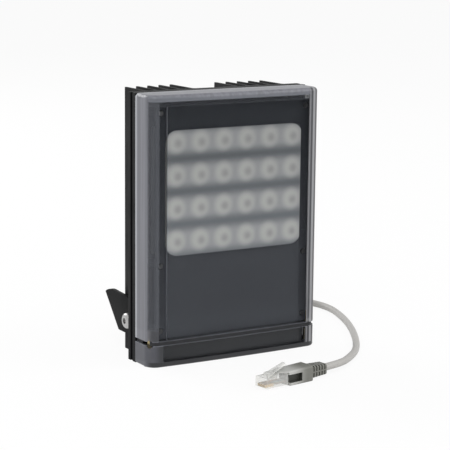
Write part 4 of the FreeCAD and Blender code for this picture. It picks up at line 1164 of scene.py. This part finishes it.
def white_where_seen(tree: bpy.types.NodeTree) -> Socket:
    """Adds nodes that give 1 to camera, glossy and transmission rays.

    Args:
        tree: the node tree to add to.

    Returns:
        The factor's socket.
    """
    path = tree.nodes.new("ShaderNodeLightPath")
    both, all_three = tree.nodes.new("ShaderNodeMath"), tree.nodes.new("ShaderNodeMath")
    both.operation = all_three.operation = "MAXIMUM"
    tree.links.new(path.outputs["Is Camera Ray"], both.inputs[0])
    tree.links.new(path.outputs["Is Glossy Ray"], both.inputs[1])
    tree.links.new(both.outputs[0], all_three.inputs[0])
    tree.links.new(path.outputs["Is Transmission Ray"], all_three.inputs[1])
    return all_three.outputs[0]


@dataclass
class NetworkLead:
    """The grey network lead, its boot and its plug.

    The route is the part's own, in millimetres, from the gland to the boot's tail.
    """

    shop: Shop
    radius: float = 2.5 * MM
    length: float = 420.0 * MM
    round_steps: int = 6
    length_steps: int = 14
    latch_root: float = 9.9 * MM
    latch_top: float = 15.0 * MM
    # The share of its width that the latch has at its free end.
    latch_narrow: float = 0.55
    shell_rounding: float = 0.22 * MM
    boot_rounding: float = 0.3 * MM
    route: tuple[Triple, ...] = (
        (0, 9.1, 64), (0, 46, 64), (21, 76, 57), (58, 96, 36), (98, 98, 14), (128, 80.5, 4), (137, 58.5, 2.7),
        (127, 24.5, 2.5), (112, -8.5, 2.6), (94, -39.5, 2.5), (77.5, -62, 2.8), (60, -78.5, 3.8),
        (44, -91.4, 5.2), (23.822, -96.047, 5.4),
    )

    def build(self) -> None:
        """Makes the cord and dresses what is on it."""
        palette = self.shop.palette
        self.shop.dress("plug_contacts", palette.gold)
        self.shop.dress("plug_wires", palette.fan)
        shell = self.shop.softened("plug_shell", "plug_body", palette.plug, Body.HOUSING, "clear_plug",
                                   self.shell_rounding, self.narrowed)
        boot = self.shop.softened("lead_boot", "plug_boot", palette.boot, Body.HOUSING, "grey_boot",
                                  self.boot_rounding)
        self.cord()

    def narrowed(self, shape: bmesh.types.BMesh) -> None:
        """Narrows the latch towards its free end.

        Args:
            shape: the plug's mesh.
        """
        across = Vector((-math.sin(PLUG_HEADING), math.cos(PLUG_HEADING), 0.0))
        start = Vector((*PLUG_JOINT, 0.0))
        for vertex in shape.verts:
            rise = (vertex.co.z - self.latch_root) / (self.latch_top - self.latch_root)
            if rise > 0.0:
                off = across.dot(vertex.co - start)
                vertex.co -= across * off * (1.0 - self.latch_narrow) * min(1.0, rise)

    def cord(self) -> None:
        """Makes the cord's sheath along its route.
        """
        data = bpy.data.curves.new("lead_sheath", "CURVE")
        data.dimensions = "3D"
        data.bevel_depth = self.radius
        data.bevel_resolution = self.round_steps
        data.resolution_u = self.length_steps
        data.use_fill_caps = True
        spline = data.splines.new("NURBS")
        spline.points.add(len(self.route) - 1)
        for point, place in zip(spline.points, self.route):
            point.co = (*(v * MM for v in place), 1.0)
        spline.order_u = 3
        spline.use_endpoint_u = True
        data.materials.append(self.shop.material(self.shop.palette.sheath))
        sheath = bpy.data.objects.new("lead_sheath", data)
        bpy.context.scene.collection.objects.link(sheath)
        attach(sheath, Body.HOUSING.value)
        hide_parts("cable")
        LOG.info("lead_sheath: %d route points", len(self.route))


@dataclass
class Housing:
    """Heat sink, clear cover and cap, bezel and window."""

    shop: Shop
    sink_rounding: float = 0.25 * MM

    def build(self) -> None:
        """Dresses the housing's nodes."""
        palette = self.shop.palette
        self.shop.softened("finned_sink", "heat_sink", palette.anodised, Body.HOUSING, "black_anodised",
                           self.sink_rounding)
        for name, finish in (
            ("front_cover", palette.cover),
            ("cover_gasket", palette.seal),
            ("cover_screws", palette.steel),
            ("bottom_cap", palette.cover),
            ("cap_liner", palette.moulding),
            ("cap_seal", palette.cap_seal),
            ("cap_screws", palette.brass),
            ("bezel", palette.panel),
            ("bezel_screws", palette.dark_steel),
            ("window_diffuser", palette.frosted),
            ("lens_insert", palette.sheet),
        ):
            self.shop.dress(name, finish)


@dataclass
class Inside:
    """The diode board, its lenses, the driver and its wires."""

    shop: Shop

    def build(self) -> None:
        """Dresses the inner nodes."""
        palette = self.shop.palette
        for name, finish in (
            ("thermal_pad", palette.pad),
            ("led_board", palette.board),
            ("led_emitters", palette.diode),
            ("led_lenses", palette.lens),
            ("board_screws", palette.steel),
            ("driver_board", palette.green_board),
            ("board_standoffs", palette.brass),
            ("driver_screws", palette.steel),
            ("transformer", palette.ferrite),
            ("inductor", palette.ferrite),
            ("capacitors", palette.can),
            ("power_transistors", palette.epoxy),
            ("cable_header", palette.nylon),
            ("lead_wires", palette.wire),
            ("link_leads", palette.wire),
        ):
            self.shop.dress(name, finish)


@dataclass
class Gland:
    """The cable gland in the channel between the fins.

    Its dome reaches from front to back along the cord, and its radii are measured from the cord's axis.
    """

    shop: Shop
    height: float = 64.0 * MM
    front: float = 10.7 * MM
    back: float = 22.7 * MM
    straight: float = 7.2 * MM
    radius: float = 8.0 * MM
    mouth: float = 5.8 * MM
    bore: float = 3.5 * MM
    inner: float = 6.6 * MM
    inner_depth: float = 7.5 * MM
    chamfer: float = 0.4 * MM
    collar: float = 0.9 * MM
    heel: float = 0.6 * MM
    # Steps across and along from the waist, the mouth and the back, which round the dome.
    shoulder: Pair = (0.5 * MM, 1.5 * MM)
    crown: Pair = (0.6 * MM, 1.0 * MM)
    rim: Pair = (0.5 * MM, 0.3 * MM)
    steps: int = 72
    grips: int = 12
    grip_inset: float = 0.25 * MM
    grip_depth: float = 0.55 * MM
    grip_margin: float = 0.8 * MM
    hex_rounding: float = 0.4 * MM

    def build(self) -> None:
        """Makes the dome and dresses the gland's other nodes."""
        palette = self.shop.palette
        for name, finish in (("gland_seal", palette.seal), ("gland_nut", palette.moulding)):
            self.shop.dress(name, finish)
        self.shop.softened("gland_hexagon", "gland_body", palette.moulding, Body.HOUSING, "black_nylon",
                           self.hex_rounding)
        self.shop.piece("gland_cap", self.dome(), palette.moulding, Body.HOUSING, "black_nylon", "gland_dome",
                        smooth_angle=28.0)

    def dome(self) -> bmesh.types.BMesh:
        """Makes the compression nut: spun round the cord's axis, with recessed grips on its straight part.

        Returns:
            The dome's mesh.
        """
        shape = bmesh.new()
        waist = self.front + self.straight
        profile = [
            (self.inner, self.front),
            (self.radius - self.chamfer, self.front),
            (self.radius, self.front + self.chamfer),
            (self.radius, self.front + self.collar),
            (self.radius, waist - self.heel),
            (self.radius, waist),
            (self.radius - self.shoulder[0], waist + self.shoulder[1]),
            (self.mouth + self.crown[0], self.back - self.crown[1]),
            (self.mouth, self.back - self.rim[1]),
            (self.mouth - self.rim[0], self.back),
            (self.bore + self.chamfer, self.back),
            (self.bore, self.back - self.rim[0]),
            (self.bore, self.front + self.inner_depth),
            (self.inner, self.front + self.inner_depth),
        ]
        ring = [shape.verts.new((r, y, self.height)) for r, y in profile]
        edges = [shape.edges.new((a, b)) for a, b in zip(ring, ring[1:] + ring[:1])]
        bmesh.ops.spin(shape, geom=ring + edges, cent=(0.0, 0.0, self.height), axis=(0.0, 1.0, 0.0),
                       angle=math.tau, steps=self.steps, use_merge=True)
        bmesh.ops.remove_doubles(shape, verts=shape.verts, dist=WELD)
        bmesh.ops.recalc_face_normals(shape, faces=shape.faces)
        low, high = self.front + self.grip_margin, waist - self.grip_margin
        share = self.steps // self.grips
        band = {}
        for face in shape.faces:
            middle = face.calc_center_median()
            off = Vector((middle.x, middle.z - self.height))
            if low < middle.y < high and off.length > self.inner:
                turn = int((math.atan2(off.y, off.x) % math.tau) / math.tau * self.steps)
                if turn % share < share // 2:
                    band.setdefault(turn // share, []).append(face)
        for faces in band.values():
            bmesh.ops.inset_region(shape, faces=faces, thickness=self.grip_inset, depth=-self.grip_depth,
                                   use_even_offset=True)
        return shape


@dataclass
class TiltBracket:
    """The folded bracket and its pivot hardware."""

    shop: Shop
    plate_rounding: float = 0.35 * MM
    head_rounding: float = 0.15 * MM
    washer_rounding: float = 0.12 * MM

    def build(self) -> None:
        """Makes the bracket and its screws, and dresses the other nodes."""
        palette = self.shop.palette
        self.shop.softened("folded_bracket", "bracket", palette.powder, Body.BRACKET, "black_paint",
                           self.plate_rounding)
        for name, node, finish, width in (
            ("button_screws", "pivot_screws", palette.button, self.head_rounding),
            ("flat_washers", "pivot_washers", palette.steel, self.washer_rounding),
            ("hexagon_nuts", "pivot_nuts", palette.steel, self.washer_rounding),
        ):
            self.shop.softened(name, node, finish, Body.HOUSING, "steel", width)
        self.shop.dress("spring_washers", palette.steel)


def main() -> None:
    """Builds the scene."""
    logging.basicConfig(level=logging.INFO, format="%(message)s")
    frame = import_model()
    shop = Shop(frame)
    Studio().build()
    NetworkLead(shop).build()
    for assembly in (Housing(shop), Inside(shop), Gland(shop), TiltBracket(shop)):
        assembly.build()


if __name__ == "__main__":
    main()
